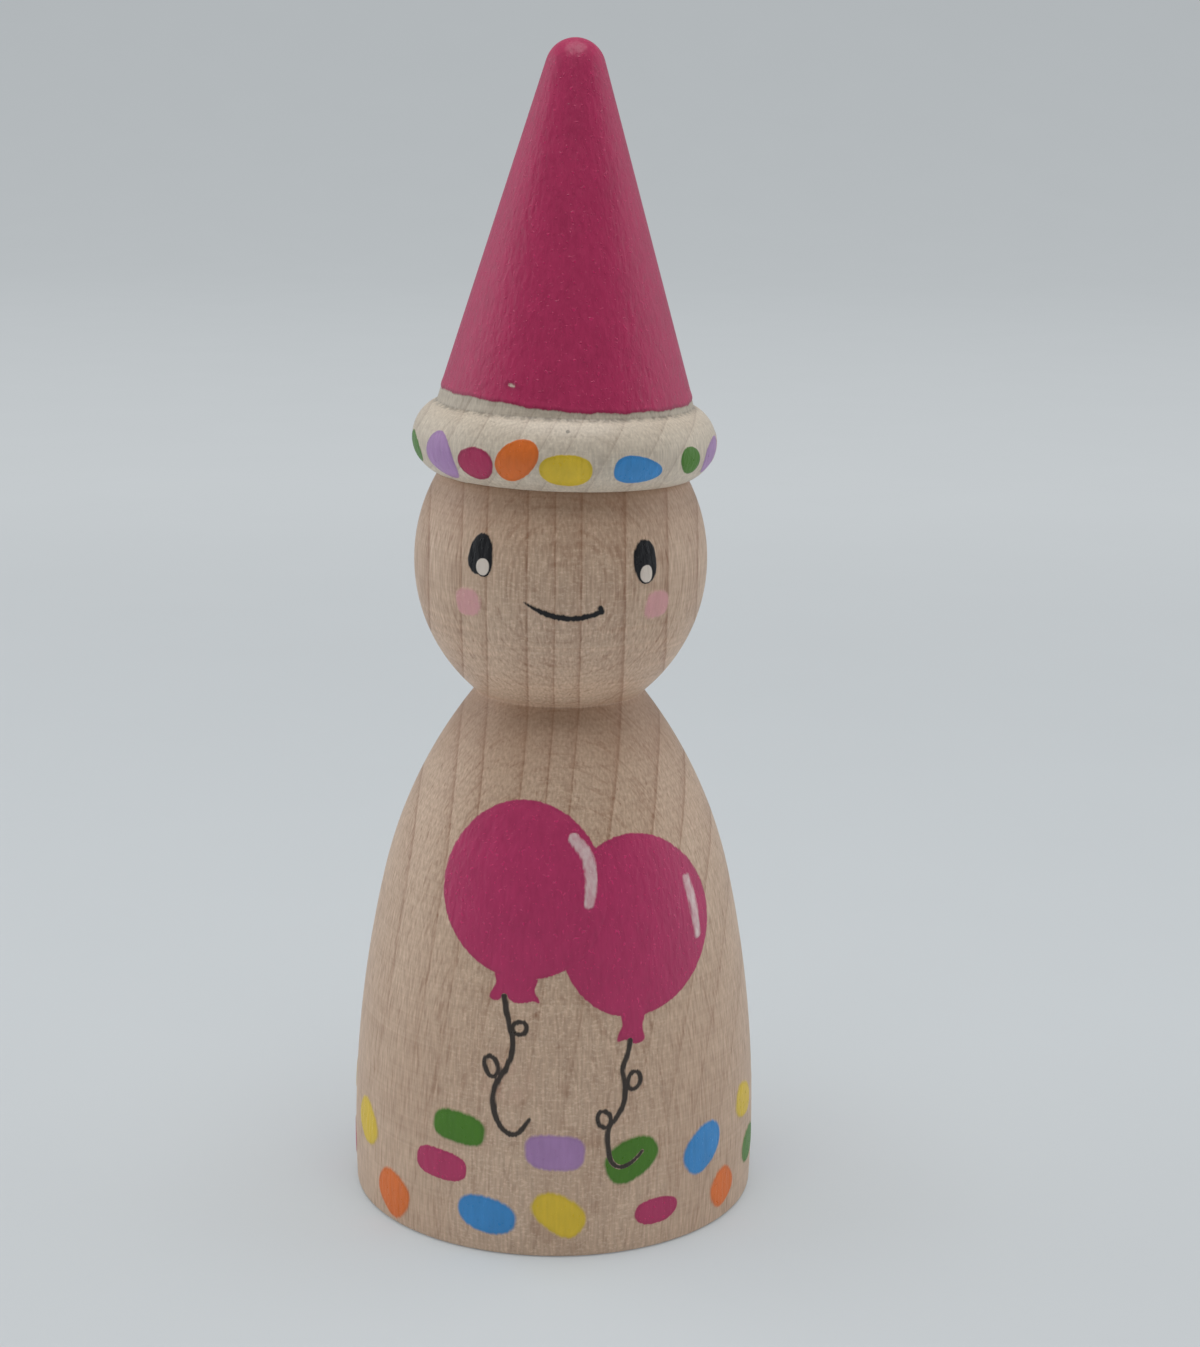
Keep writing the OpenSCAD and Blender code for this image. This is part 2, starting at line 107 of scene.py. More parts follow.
# How pointed each eye is, and the shares of the light spot's shift and of the eye's drop that it takes
EYE_SHARES = {RIGHT: (0.20, 1, 0), LEFT: (-0.03, 0, 1)}

# Each balloon: its size as a share of the right one's, its tilt in degrees, how pointed it is, where
# its unevenness starts, and its light stroke's width as a share of the right one's
BALLOON_SHARES = {RIGHT: (1, -7, 0.02, -1.85, 1), LEFT: (1.03, -4, 0.04, 0.0, 0.66)}
# Share of the spread that lies on the right balloon's side
RIGHT_BALLOON_SHARE = 0.481
# Where the strings start, as shares of the frill's size from a balloon's lowest place
STRING_TOP_SHARES = {RIGHT: (-0.16, -0.95), LEFT: (0.15, -1.17)}
# Pen lines of the strings, as shares of their length from where they start
STRING_SHARES = {
    RIGHT: [
        (-0.036, 0.024), (-0.025, -0.081), (0.001, -0.207), (0.020, -0.334), (-0.025, -0.484),
        (-0.089, -0.588), (-0.122, -0.722), (-0.100, -0.864), (-0.040, -0.957), (0.027, -0.976),
        (0.079, -0.931), (0.128, -0.857),
    ],
    LEFT: [
        (-0.045, 0.016), (-0.071, -0.099), (-0.101, -0.188), (-0.083, -0.322), (-0.094, -0.442),
        (-0.154, -0.546), (-0.206, -0.613), (-0.210, -0.740), (-0.180, -0.867), (-0.113, -0.916),
        (-0.027, -0.890), (0.052, -0.819),
    ],
}
# Loops beside the pen lines: middle, half length and half breadth as such shares, tilt in degrees
LOOP_SHARES = {
    RIGHT: [(0.064, -0.196, 0.052, 0.044, 15), (-0.130, -0.490, 0.074, 0.044, 100)],
    LEFT: [(-0.017, -0.279, 0.064, 0.046, 75), (-0.236, -0.544, 0.062, 0.047, 105)],
}
# Light strokes, as shares of half a balloon from its middle
SHINE_SHARES = {
    RIGHT: [(0.60, 0.60), (0.72, 0.47), (0.785, 0.32), (0.805, 0.13), (0.765, -0.11)],
    LEFT: [(0.70, 0.41), (0.755, 0.24), (0.80, 0.07), (0.85, -0.25)],
}
# Frilled ends of the balloons, as shares of the frill's size from a balloon's lowest place
FRILL_SHARES = {
    RIGHT: [
        (-0.52, 0.25), (-0.54, -0.35), (-0.66, -0.95), (-0.56, -1.12), (-0.42, -1.05), (-0.30, -0.80),
        (-0.08, -1.02), (0.16, -1.00), (0.36, -0.84), (0.55, -0.86), (0.52, -0.66), (0.41, -0.30),
        (0.40, 0.25),
    ],
    LEFT: [
        (-0.27, 0.25), (-0.25, -0.40), (-0.35, -0.90), (-0.33, -1.15), (-0.16, -1.05), (0.02, -1.20),
        (0.20, -1.25), (0.38, -1.08), (0.30, -0.50), (0.30, 0.25),
    ],
}

# How strongly bare wood and paint reflect, where 0.5 is plain glass
WOOD_SHINE = 0.45
PAINT_SHINE = 0.36
# Middles of the faint stain low on the body and of the knot in the hat, in millimetres
STAIN_PLACE = (-4.6, -18.9, 18.0)
KNOT_PLACE = (0.5, -13.85, 79.6)
# Where the bare nick in the cone's coat lies: its turn in degrees, and how many nicks above the edge
NICK_TURN = -25.8
NICK_RISE = 6.0

# Edges of the turned wood that bend by more than this, in degrees, stay sharp
SHARP_BEND = 35
# Steps around the turned pieces and around the cone's coat, and up the bare cone
TURNED_STEPS = 288
COAT_STEPS = 384
CONE_STEPS = 60

# The sweep, in metres: its half width, places along its flat, where it bends up, the bend's radius
# and how high it ends
SWEEP_HALF_WIDTH = 2.2
SWEEP_FLAT = (-1.2, -0.3, 0.4)
SWEEP_BACK = 1.1
SWEEP_BEND = 0.5
SWEEP_TOP = 1.4
# The lamps, in metres, and the place that they all face
SIDE_LAMP_PLACE = (0.55, 0.12, 0.22)
SIDE_LAMP_SIZE = (0.6, 0.5)
TOP_LAMP_PLACE = (0, -0.05, 0.80)
TOP_LAMP_SIZE = (0.6, 0.6)
LAMP_AIM = (0, 0, 0.05)
# Power of the lamp at the right of the picture, as a share of the one at the left
RIGHT_LAMP_SHARE = 0.8
# Tones of the light that the sweep throws back, and of the tent around it all
BOUNCE_TONE = (0.92, 0.95, 0.98, 1.0)
TENT_TONE = (0.15, 0.152, 0.154, 1.0)


def to_linear(value):
    """Light carried by a screen value from 0 to 255."""
    value = value / 255
    return value / 12.92 if value <= 0.04045 else ((value + 0.055) / 1.055) ** 2.4


def length(name, description, default):
    """A length setting, given here in millimetres."""
    return bpy.props.FloatProperty(
        name=name, description=description, default=default * MM, unit="LENGTH", precision=5)


def angle(name, description, default):
    """An angle setting, given here in degrees."""
    return bpy.props.FloatProperty(
        name=name, description=description, default=math.radians(default), subtype="ANGLE")


def colour(name, description, *screen):
    """A colour setting, given here as screen values from 0 to 255."""
    return bpy.props.FloatVectorProperty(
        name=name, description=description, subtype="COLOR", size=3, min=0.0, max=1.0,
        default=[to_linear(value) for value in screen])


class PegSizes(bpy.types.PropertyGroup):
    """Sizes of the turned head and body, which are one piece."""
    body_r: length("Body radius", "Radius of the body at its widest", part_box("peg_body")[1][0] / MM)
    belly_z: length("Widest height", "Height of the widest place", 5.7)
    belly_arc_r: length("Side curve", "Radius of the long curve up the side", 123)
    shoulder_z: length("Shoulder height", "Height at which the side starts to turn in", 33)
    neck_z: length("Neck height", "Height of the neck crease", 52)
    neck_r: length("Neck radius", "Radius of the neck crease", 8.3)
    neck_soft: length("Neck softness", "How far the crease is eased each way", 0.15)
    head_r: length("Head radius", "Radius of the head at its widest", 14.45)
    head_arc_r: length("Head curve", "Radius of the head's side curve", 17)
    crown_flat_r: length("Crown flat", "Radius of the flat under the hat", 3)
    foot_soft: length("Foot edge", "How far the foot's edge is rounded", 0.5)


class HatSizes(bpy.types.PropertyGroup):
    """Sizes of the turned hat."""
    seat_rise: length("Seat height", "Height of the underside above the head's widest place", 8.7)
    hat_h: length("Hat height", "Height of the hat from its underside to its tip", 41.2)
    bead_r: length("Brim section", "Radius of the rolled brim's section", 3.7)
    bead_rise: length("Brim middle", "Height of the section's middle above the underside", 3.3)
    brim_lip: length("Brim lip", "Width of the flat lip around the hollow", 0.45)
    cone_out: length("Cone offset", "How far outside the section's middle the cone stands", 1.4)
    tip_r: length("Tip radius", "Radius of the rounded tip", 2.85)
    cove_soft: length("Cove softness", "How far the corner above the brim is eased each way", 0.15)
    seat_gap: length("Seat gap", "Gap between the crown and the hollow", 0.25)
    lean: angle("Lean", "Lean of the hat towards the doll's left hand", 1)


class PaintSizes(bpy.types.PropertyGroup):
    """Thickness and edges of the paint, and the sizes of the plain marks."""
    relief: length("Paint thickness", "How far a coat of paint stands up", 0.06)
    rim: length("Rounded rim", "Width over which a coat rises to its thickness", 0.25)
    margin: length("Faded margin", "Width outside a mark that its film still covers", 0.5)
    skim: length("Film lift", "How far a film's faded margin stands off the wood", 0.005)
    bare_band: length("Bare band", "Bare wood between the brim and the cone's coat", 1.1)
    edge_wander: length("Edge wander", "How far the coat's hand-cut edge wanders", 0.4)
    nick: length("Nick", "Half the length of a bare nick in the coat", 0.28)
    dot_l: length("Dot length", "Length of a typical dot on the brim", 4.8)
    dot_w: length("Dot breadth", "Breadth of a typical dot on the brim", 3.1)
    confetti_h: length("Confetti height", "Height of the top row of dabs", 13)
    dab_l: length("Dab length", "Length of a typical dab", 5.8)
    dab_w: length("Dab breadth", "Breadth of a typical dab", 3.6)


class FaceSizes(bpy.types.PropertyGroup):
    """Sizes and places of the painted face."""
    turn: angle("Turn", "Turn of the face away from straight ahead", 1)
    eye_spread: angle("Eye spread", "Half the angle between the eyes", 32.8)
    eye_rise: length("Eye rise", "Height of the right eye above the head's widest place", 2.6)
    eye_drop: length("Eye drop", "How much lower the left eye sits", 0.55)
    eye_w: length("Eye width", "Width of an eye", 2.65)
    eye_h: length("Eye length", "Length of an eye from top to bottom", 4.0)
    glint_w: length("Light spot width", "Width of an eye's light spot", 1.35)
    glint_h: length("Light spot height", "Height of an eye's light spot", 1.6)
    glint_shift: length("Light spot shift", "How far off the right eye's middle the spot sits", 0.35)
    cheek_spread: angle("Cheek spread", "Half the angle between the cheeks", 38.8)
    cheek_drop: length("Cheek drop", "How far the cheeks sit below the head's widest place", 2.2)
    cheek_w: length("Cheek width", "Width of a cheek", 2.9)
    cheek_h: length("Cheek height", "Height of a cheek", 2.65)
    smile_w: length("Smile width", "Width of the smile", 7.3)
    smile_drop: length("Smile drop", "How far its lowest place sits below the head's widest", 3.0)
    smile_sag: length("Smile depth", "Depth of the smile's curve", 1.0)
    smile_slant: length("Smile slant", "How much its right end is raised and its left end lowered", 0.43)
    smile_t: length("Smile line", "Width of the smile's line", 0.56)


class BalloonSizes(bpy.types.PropertyGroup):
    """Sizes and places of the two painted balloons and their strings."""
    turn: angle("Turn", "Turn of the pair away from straight ahead", 8)
    bunch_z: length("Middle height", "Height of the middle of the pair", 34.03)
    bunch_spread: length("Spread", "Sideways distance between their middles", 10.4)
    bunch_step: length("Step", "Up and down distance between their middles", 3.43)
    balloon_w: length("Balloon width", "Width of the right balloon", 15)
    balloon_h: length("Balloon height", "Height of the right balloon", 16.4)
    frill_w: length("Frill width", "Width of a balloon's frilled end", 3.8)
    frill_h: length("Frill height", "Height of a balloon's frilled end", 2.1)
    string_h: length("String length", "Height that a string takes up", 13.4)
    string_w: length("String width", "Width of a string's pen line", 0.54)
    shine_w: length("Stroke width", "Width of the right balloon's light stroke", 1.15)


class Colours(bpy.types.PropertyGroup):
    """Colours of the woods and the paints."""
    beech: colour("Beech", "Plain tone of the head and body", 212, 186, 161)
    beech_dark: colour("Beech, dark", "Darker tone of the head and body", 156, 118, 92)
    # Painted shade: a warmer, darker tone laid under the brim and in the neck crease
    brim_neck_shade: colour("Shading", "Tone of the wood by the brim and in the neck", 186, 140, 108)
    stain: colour("Stain", "Faint rosy stain low on the body", 205, 150, 135)
    maple: colour("Maple", "Plain tone of the hat's wood", 214, 202, 183)
    maple_dark: colour("Maple, dark", "Darker tone of the hat's wood", 172, 155, 138)
    pink: colour("Pink", "Pink paint of the hat", 173, 44, 88)
    rose: colour("Rose", "Pink paint on the body", 179, 52, 98)
    green: colour("Green", "Green paint", 73, 125, 31)
    lilac: colour("Lilac", "Lilac paint", 168, 130, 178)
    orange: colour("Orange", "Orange paint", 223, 113, 43)
    yellow: colour("Yellow", "Yellow paint", 220, 188, 50)
    blue: colour("Blue", "Blue paint", 57, 138, 202)
    black: colour("Black", "Black paint of the eyes and the smile", 15, 15, 20)
    string: colour("String", "Pen line of the strings", 36, 32, 31)
    cheek: colour("Cheek", "Thin pink wash of the cheeks", 214, 156, 158)
    white: colour("Off white", "Light strokes on the balloons", 232, 221, 215)
    glint: colour("Glint", "Light spots in the eyes", 216, 204, 192)


class StageSizes(bpy.types.PropertyGroup):
    """The pale sweep, the lamps and the camera."""
    # The far tone is painted shade: the sweep is shown darker far behind the doll
    near: colour("Near", "Tone of the sweep behind the doll", 202, 207, 210)
    far: colour("Far", "Tone of the sweep far behind the doll", 175, 180, 183)
    side_power: bpy.props.FloatProperty(
        name="Side lamps", description="Power of each lamp beside the doll", default=1.27, unit="POWER")
    side_tint: colour("Side light", "Tone of the lamps beside the doll", 247, 252, 255)
    top_power: bpy.props.FloatProperty(
        name="Top lamp", description="Power of the lamp above the doll", default=4.7, unit="POWER")
    lens: bpy.props.FloatProperty(
        name="Lens", description="Focal length, on a film 36 mm long", default=67.95, unit="CAMERA")
    camera_distance: length("Camera distance", "Distance of the camera in front of the doll", 247.02)
    camera_height: length("Camera height", "Height of the camera above the floor", 112.3)
    camera_pitch: angle("Camera pitch", "How far the camera looks down", 13.407)
    camera_yaw: angle("Camera yaw", "How far the camera looks to the right", 0.94)
    camera_roll: angle("Camera roll", "How far the camera is tipped", 0.922)


class PegDoll(bpy.types.PropertyGroup):
    """Everything that can be set on the doll."""
    peg: bpy.props.PointerProperty(type=PegSizes, name="Peg", description="Head and body")
    hat: bpy.props.PointerProperty(type=HatSizes, name="Hat", description="Turned hat")
    paint: bpy.props.PointerProperty(type=PaintSizes, name="Paint", description="Paint and plain marks")
    face: bpy.props.PointerProperty(type=FaceSizes, name="Face", description="Painted face")
    balloons: bpy.props.PointerProperty(type=BalloonSizes, name="Balloons", description="Painted balloons")
    colours: bpy.props.PointerProperty(type=Colours, name="Colours", description="Woods and paints")
    stage: bpy.props.PointerProperty(type=StageSizes, name="Stage", description="Sweep, lamps and camera")


def doll():
    """The doll's settings."""
    return bpy.context.scene.peg_doll


class Arc(NamedTuple):
    """Part of a turned side: an arc of a circle whose middle may lie off the axis."""
    middle_r: float
    middle_z: float
    arc_r: float

    def radius(self, z):
        """Distance of the side from the axis at a height."""
        return self.middle_r + np.sqrt(np.maximum(self.arc_r ** 2 - (z - self.middle_z) ** 2, 0))

    def at(self, z):
        """Radius and height of the side at a height."""
        return float(self.radius(z)), z

    def points(self, z_from, z_to, gap=0.45 * MM):
        """Radii and heights along the arc between two heights, about a gap apart."""
        start, end = (math.asin((z - self.middle_z) / self.arc_r) for z in (z_from, z_to))
        steps = max(4, round(abs(end - start) * self.arc_r / gap))
        return [(self.middle_r + self.arc_r * math.cos(a), self.middle_z + self.arc_r * math.sin(a))
                for a in np.linspace(start, end, steps + 1)]


class PegShape:
    """Curves of the head and body, worked out from the peg's sizes."""

    def __init__(self):
        peg = doll().peg
        self.shoulder_z = peg.shoulder_z
        self.belly = Arc(peg.body_r - peg.belly_arc_r, peg.belly_z, peg.belly_arc_r)
        turn = math.asin((peg.shoulder_z - peg.belly_z) / peg.belly_arc_r)
        out = Vector((math.cos(turn), math.sin(turn)))
        shoulder = Vector(self.belly.at(peg.shoulder_z))
        to_neck = Vector((peg.neck_r, peg.neck_z)) - shoulder
        arc_r = -to_neck.length_squared / (2 * to_neck.dot(out))
        middle = shoulder - arc_r * out
        self.shoulder = Arc(middle.x, middle.y, arc_r)
        head_middle = peg.head_r - peg.head_arc_r
        self.head_z = peg.neck_z + math.sqrt(peg.head_arc_r ** 2 - (peg.neck_r - head_middle) ** 2)
        self.head = Arc(head_middle, self.head_z, peg.head_arc_r)
        self.crown_z = self.head_z + math.sqrt(peg.head_arc_r ** 2 - (peg.crown_flat_r - head_middle) ** 2)

    def body_radius(self, z):
        """Radius of the body at a height below the neck."""
        return np.where(z < self.shoulder_z, self.belly.radius(z), self.shoulder.radius(z))


class HatShape:
    """Curves of the hat as it stands before it leans, worked out from its sizes and the peg's."""

    def __init__(self):
        hat = doll().hat
        peg = PegShape()
        self.seat_z = peg.head_z + hat.seat_rise
        self.hollow = Arc(peg.head.middle_r, peg.head_z, peg.head.arc_r + hat.seat_gap)
        self.hollow_z = peg.crown_z + hat.seat_gap
        half_chord = math.sqrt(hat.bead_r ** 2 - hat.bead_rise ** 2)
        middle_r = self.hollow.at(self.seat_z)[0] + hat.brim_lip - half_chord
        self.bead = Arc(middle_r, self.seat_z + hat.bead_rise, hat.bead_r)
        self.foot_r = middle_r + hat.cone_out
        self.foot_z = self.bead.middle_z + math.sqrt(hat.bead_r ** 2 - hat.cone_out ** 2)
        self.tip = Arc(0.0, self.seat_z + hat.hat_h - hat.tip_r, hat.tip_r)
        drop = self.foot_z - self.tip.middle_z
        turn = math.atan2(drop, self.foot_r) + math.acos(hat.tip_r / math.hypot(self.foot_r, drop))
        self.touch_r = hat.tip_r * math.cos(turn)
        self.touch_z = self.tip.middle_z + hat.tip_r * math.sin(turn)

    def cone_radius(self, z):
        """Radius of the straight side of the cone at a height."""
        height = self.touch_z - self.foot_z
        return self.touch_r + (self.foot_r - self.touch_r) * (self.touch_z - z) / height


def lean_with_hat(points):
    """Points of the hat as it sits, tipped about the middle of the head."""
    lean = doll().hat.lean
    pivot = np.array([0, 0, PegShape().head_z])
    turn = np.array([[math.cos(lean), 0, math.sin(lean)], [0, 1, 0], [-math.sin(lean), 0, math.cos(lean)]])
    return (np.asarray(points) - pivot) @ turn.T + pivot


def eased(before, corner, after, steps=8):
    """Points of the curve that eases a corner of an outline."""
    a, b, c = (np.array(p) for p in (before, corner, after))
    return [tuple((1 - s) ** 2 * a + 2 * s * (1 - s) * b + s ** 2 * c)
            for s in np.arange(1, steps) / steps]


def revolve(outline, steps=TURNED_STEPS):
    """Points and faces of an outline of radii and heights turned about the axis, its right side out."""
    points = []
    rings = []
    for r, z in outline:
        around = range(steps) if r > 1e-9 else [0]
        rings.append([len(points) + i % len(around) for i in range(steps)])
        points += [(r * math.cos(2 * math.pi * i / steps), r * math.sin(2 * math.pi * i / steps), z)
                   for i in around]
    faces = []
    for low, high in zip(rings, rings[1:]):
        for i in range(steps):
            k = (i + 1) % steps
            faces.append(list(dict.fromkeys([low[i], low[k], high[k], high[i]])))
    return points, faces


def placed(name, data):
    """A new object in the scene."""
    item = bpy.data.objects.new(name, data)
    bpy.context.scene.collection.objects.link(item)
    return item


def smooth_mesh(name, points, faces, material):
    """A smooth mesh of one material."""
    mesh = bpy.data.meshes.new(name)
    mesh.from_pydata([tuple(p) for p in points], [], faces)
    mesh.polygons.foreach_set("use_smooth", [True] * len(mesh.polygons))
    mesh.materials.append(material)
    return mesh


def add_piece(name, points, faces, material, slot, body, edge=None):
    """A smooth piece that rides on a body. A film of paint has its distances inside the mark's edge."""
    mesh = smooth_mesh(name, points, faces, material)
    if edge is None:
        mesh.set_sharp_from_angle(angle=math.radians(SHARP_BEND))
    else:
        layer = mesh.attributes.new("paint_edge", "FLOAT", "POINT")
        layer.data.foreach_set("value", (np.asarray(edge) / MM).astype(np.float32))
    mesh.update()
    piece = placed(name, mesh)
    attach(piece, body)
    return piece


def on_side(radius, u, z, lift, turn):
    """Points lifted off a turned side: pressed in from the front at u and z, then turned about the axis."""
    step = 0.01 * MM
    r = radius(z)
    slope = (radius(z + step) - radius(z - step)) / (2 * step)
    y = -np.sqrt(np.maximum(r ** 2 - u ** 2, 0))
    out = lift / np.sqrt(1 + slope ** 2)
    x = u + out * u / r
    y = y + out * y / r
    z = z - out * slope
    c, s = math.cos(turn), math.sin(turn)
    return np.stack([c * x - s * y, s * x + c * y, z], axis=-1)


def smooth_line(points, steps=8, closed=False):
    """A smooth line through given points."""
    points = np.array(points, dtype=float)
    last = len(points) - 1
    line = []
    for i in range(last + 1 if closed else last):
        near = [(i + k) % (last + 1) if closed else min(max(i + k, 0), last) for k in (-1, 0, 1, 2)]
        a, b, c, d = points[near]
        for s in np.arange(steps) / steps:
            line.append((2 * b + (c - a) * s + (2 * a - 5 * b + 4 * c - d) * s ** 2
                         + (3 * b - a - 3 * c + d) * s ** 3) / 2)
    return np.array(line if closed else line + [points[last]])


def nearest(line, u, z):
    """Distance from each place to a line, and the share of the line at which its nearest point lies."""
    best = np.full(u.shape, np.inf)
    along = np.zeros(u.shape)
    for i, (a, b) in enumerate(zip(line[:-1], line[1:])):
        run = b - a
        s = np.clip(((u - a[0]) * run[0] + (z - a[1]) * run[1]) / max(run @ run, 1e-18), 0, 1)
        d = np.hypot(u - a[0] - s * run[0], z - a[1] - s * run[1])
        along = np.where(d < best, (i + s) / (len(line) - 1), along)
        best = np.minimum(best, d)
    return best, along


class Mark:
    """A painted mark on the flat: how far each place lies inside it, and the box that holds it."""

    def __init__(self, depth, points):
        self.depth = depth
        self.box = (*np.min(points, axis=0), *np.max(points, axis=0))


def outlined(line):
    """A mark that fills a closed outline."""
    def depth(u, z):
        distance = nearest(np.vstack([line, line[:1]]), u, z)[0]
        inside = np.zeros(u.shape, dtype=bool)
        for a, b in zip(line, np.roll(line, -1, axis=0)):
            if a[1] != b[1]:
                crossing = a[0] + (z - a[1]) * (b[0] - a[0]) / (b[1] - a[1])
                inside ^= ((a[1] > z) != (b[1] > z)) & (u < crossing)
        return np.where(inside, distance, -distance)
    return Mark(depth, line)


def stroked(line, width, start=1.0, end=1.0):
    """A mark drawn along a line, thinned towards its start and its end to shares of its width."""
    def depth(u, z):
        distance, along = nearest(line, u, z)
        thin = np.minimum(start + 4 * (1 - start) * along, end + 4 * (1 - end) * (1 - along))
        return width / 2 * np.minimum(thin, 1) - distance
    return Mark(depth, line)


def joined(*marks):
    """One mark made of several."""
    corners = [corner for mark in marks for corner in (mark.box[:2], mark.box[2:])]
    return Mark(lambda u, z: np.max([mark.depth(u, z) for mark in marks], axis=0), corners)


def cut_by(mark, other):
    """A mark that stops at another."""
    def depth(u, z):
        return np.minimum(mark.depth(u, z), -other.depth(u, z))
    return Mark(depth, [mark.box[:2], mark.box[2:]])


def blob(middle, l, w, tilt, point=0.0, boxy=0.0, wobble=0.0):
    """Outline of a hand-painted oval, pointed and boxy by shares and never quite regular."""
    a = np.linspace(0, 2 * math.pi, 72, endpoint=False)
    square = 1 / (1 + boxy)
    c = np.sign(np.cos(a)) * np.abs(np.cos(a)) ** square
    s = np.sign(np.sin(a)) * np.abs(np.sin(a)) ** square
    uneven = 1 + 0.02 * np.sin(2 * a + 1.7 * wobble) + 0.018 * np.sin(3 * a + 2.9 * wobble)
    x = l / 2 * c * uneven
    y = w / 2 * s * (1 - point * np.cos(a)) * uneven
    return np.stack([middle[0] + x * math.cos(tilt) - y * math.sin(tilt),
                     middle[1] + x * math.sin(tilt) + y * math.cos(tilt)], axis=-1)


def film_lift(depth, margin):
    """How far a film stands off what it covers."""
    paint = doll().paint
    # It skims what it covers, dives into it over the outer half of its margin, and has a round rim
    dive = np.clip((-depth - 0.5 * margin) / (0.5 * margin), 0, 1)
    rise = np.clip(depth / paint.rim + 0.3, 0, 1)
    return paint.skim * (1 - 3 * dive) + paint.relief * np.sqrt(1 - (1 - rise) ** 2)


def film(mark, radius, turn, cell, shown=None, margin=None, base=0.0):
    """A film of paint over a turned side: its points, its faces and its distances inside the edge."""
    if margin is None:
        margin = doll().paint.margin
    low_u, low_z, high_u, high_z = mark.box
    spare = 2 * margin
    low_z = max(low_z - spare, doll().peg.foot_soft)
    u, z = np.meshgrid(np.arange(low_u - spare, high_u + spare, cell),
                       np.arange(low_z, high_z + spare, cell))
    depth = mark.depth(u, z)
    edge = depth if shown is None else shown.depth(u, z)
    points = on_side(radius, u, z, base + film_lift(depth, margin), turn).reshape(-1, 3)
    kept = np.max([depth[:-1, :-1], depth[:-1, 1:], depth[1:, :-1], depth[1:, 1:]], axis=0) > -margin
    rows, columns = np.nonzero(kept)
    first = rows * u.shape[1] + columns
    quads = np.stack([first, first + 1, first + u.shape[1] + 1, first + u.shape[1]], axis=-1)
    used, quads = np.unique(quads, return_inverse=True)
    return points[used], quads.reshape(-1, 4), edge.reshape(-1)[used]


def add_paint(node, films, material, slot, body):
    """Adds the piece that shows one node's marks in that node's place."""
    points, faces, edges = [], [], []
    for patch, quads, edge in films:
        faces += (quads + sum(len(p) for p in points)).tolist()
        points.append(patch)
        edges.append(edge)
    points = np.vstack(points)
    if body == "hat":
        points = lean_with_hat(points)
    piece = add_piece(node + "_paint", points, faces, material, slot, body, np.concatenate(edges))
    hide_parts(node)


class Tree:
    """Short ways to place and join the nodes of a material or a node group."""

    def __init__(self, node_tree):
        self.tree = node_tree

    def put(self, kind, inputs=None, **settings):
        """A node with its settings, and with its inputs joined to sockets or set to values."""
        node = self.tree.nodes.new(kind if kind.startswith("NodeGroup") else "ShaderNode" + kind)
        for key, value in settings.items():
            setattr(node, key, value)
        for key, value in (inputs or {}).items():
            if isinstance(value, bpy.types.NodeSocket):
                self.tree.links.new(value, node.inputs[key])
            else:
                node.inputs[key].default_value = value
        return node

    def math(self, operation, a, b=0.0, c=0.0):
        """The result of one piece of arithmetic."""
        return self.put("Math", {0: a, 1: b, 2: c}, operation=operation).outputs[0]

    def times(self, a, b):
        """One value multiplied by another."""
        return self.math("MULTIPLY", a, b)

    def total(self, start, *terms):
        """A value with others added to it, each with the amount of it to take."""
        for value, amount in terms:
            start = self.math("MULTIPLY_ADD", value, amount, start)
        return start

    def stretched(self, vector, by):
        """A vector multiplied along each axis."""
        return self.put("VectorMath", {0: vector, 1: by}, operation="MULTIPLY").outputs[0]

    def distance(self, a, b):
        """Distance between two places."""
        return self.put("VectorMath", {0: a, 1: b}, operation="DISTANCE").outputs["Value"]

    def noise(self, place, by, detail):
        """Soft random values from 0 to 1, finer along the axes with the larger numbers."""
        values = {"Vector": self.stretched(place, by), "Scale": 1.0, "Detail": detail}
        return self.put("TexNoise", values).outputs["Fac"]

    def swing(self, place, by, detail):
        """Such a noise about zero, from -0.5 to 0.5."""
        return self.math("SUBTRACT", self.noise(place, by, detail), 0.5)

    def step(self, value, low, high, start=0.0, end=1.0):
        """A smooth step of a value between two limits."""
        values = {"Value": value, "From Min": low, "From Max": high, "To Min": start, "To Max": end}
        return self.put("MapRange", values, interpolation_type="SMOOTHSTEP").outputs[0]

    def rise(self, value, low, high):
        """A straight rise of a value from 0 to 1 between two limits."""
        return self.put("MapRange", {"Value": value, "From Min": low, "From Max": high}).outputs[0]

    def blend(self, amount, a, b, kind="RGBA"):
        """One colour, or one value, laid over another by an amount."""
        # The node keeps its sockets for colours and for values at different places
        first, out = (6, 2) if kind == "RGBA" else (2, 0)
        return self.put("Mix", {0: amount, first: a, first + 1: b}, data_type=kind).outputs[out]

    def shaded(self, tint, by):
        """A colour made lighter or darker by a factor."""
        return self.put("VectorMath", {0: tint, "Scale": by}, operation="SCALE").outputs[0]

    def grouped(self, name, values):
        """What a shared node group puts out. The group is made when it is first asked for."""
        made = bpy.data.node_groups.get(name) or make_group(name)
        return self.put("Group", values, node_tree=made).outputs


# In the groups and the woods, places and heights are in millimetres, and the numbers of a noise are
# its changes per millimetre along each axis.


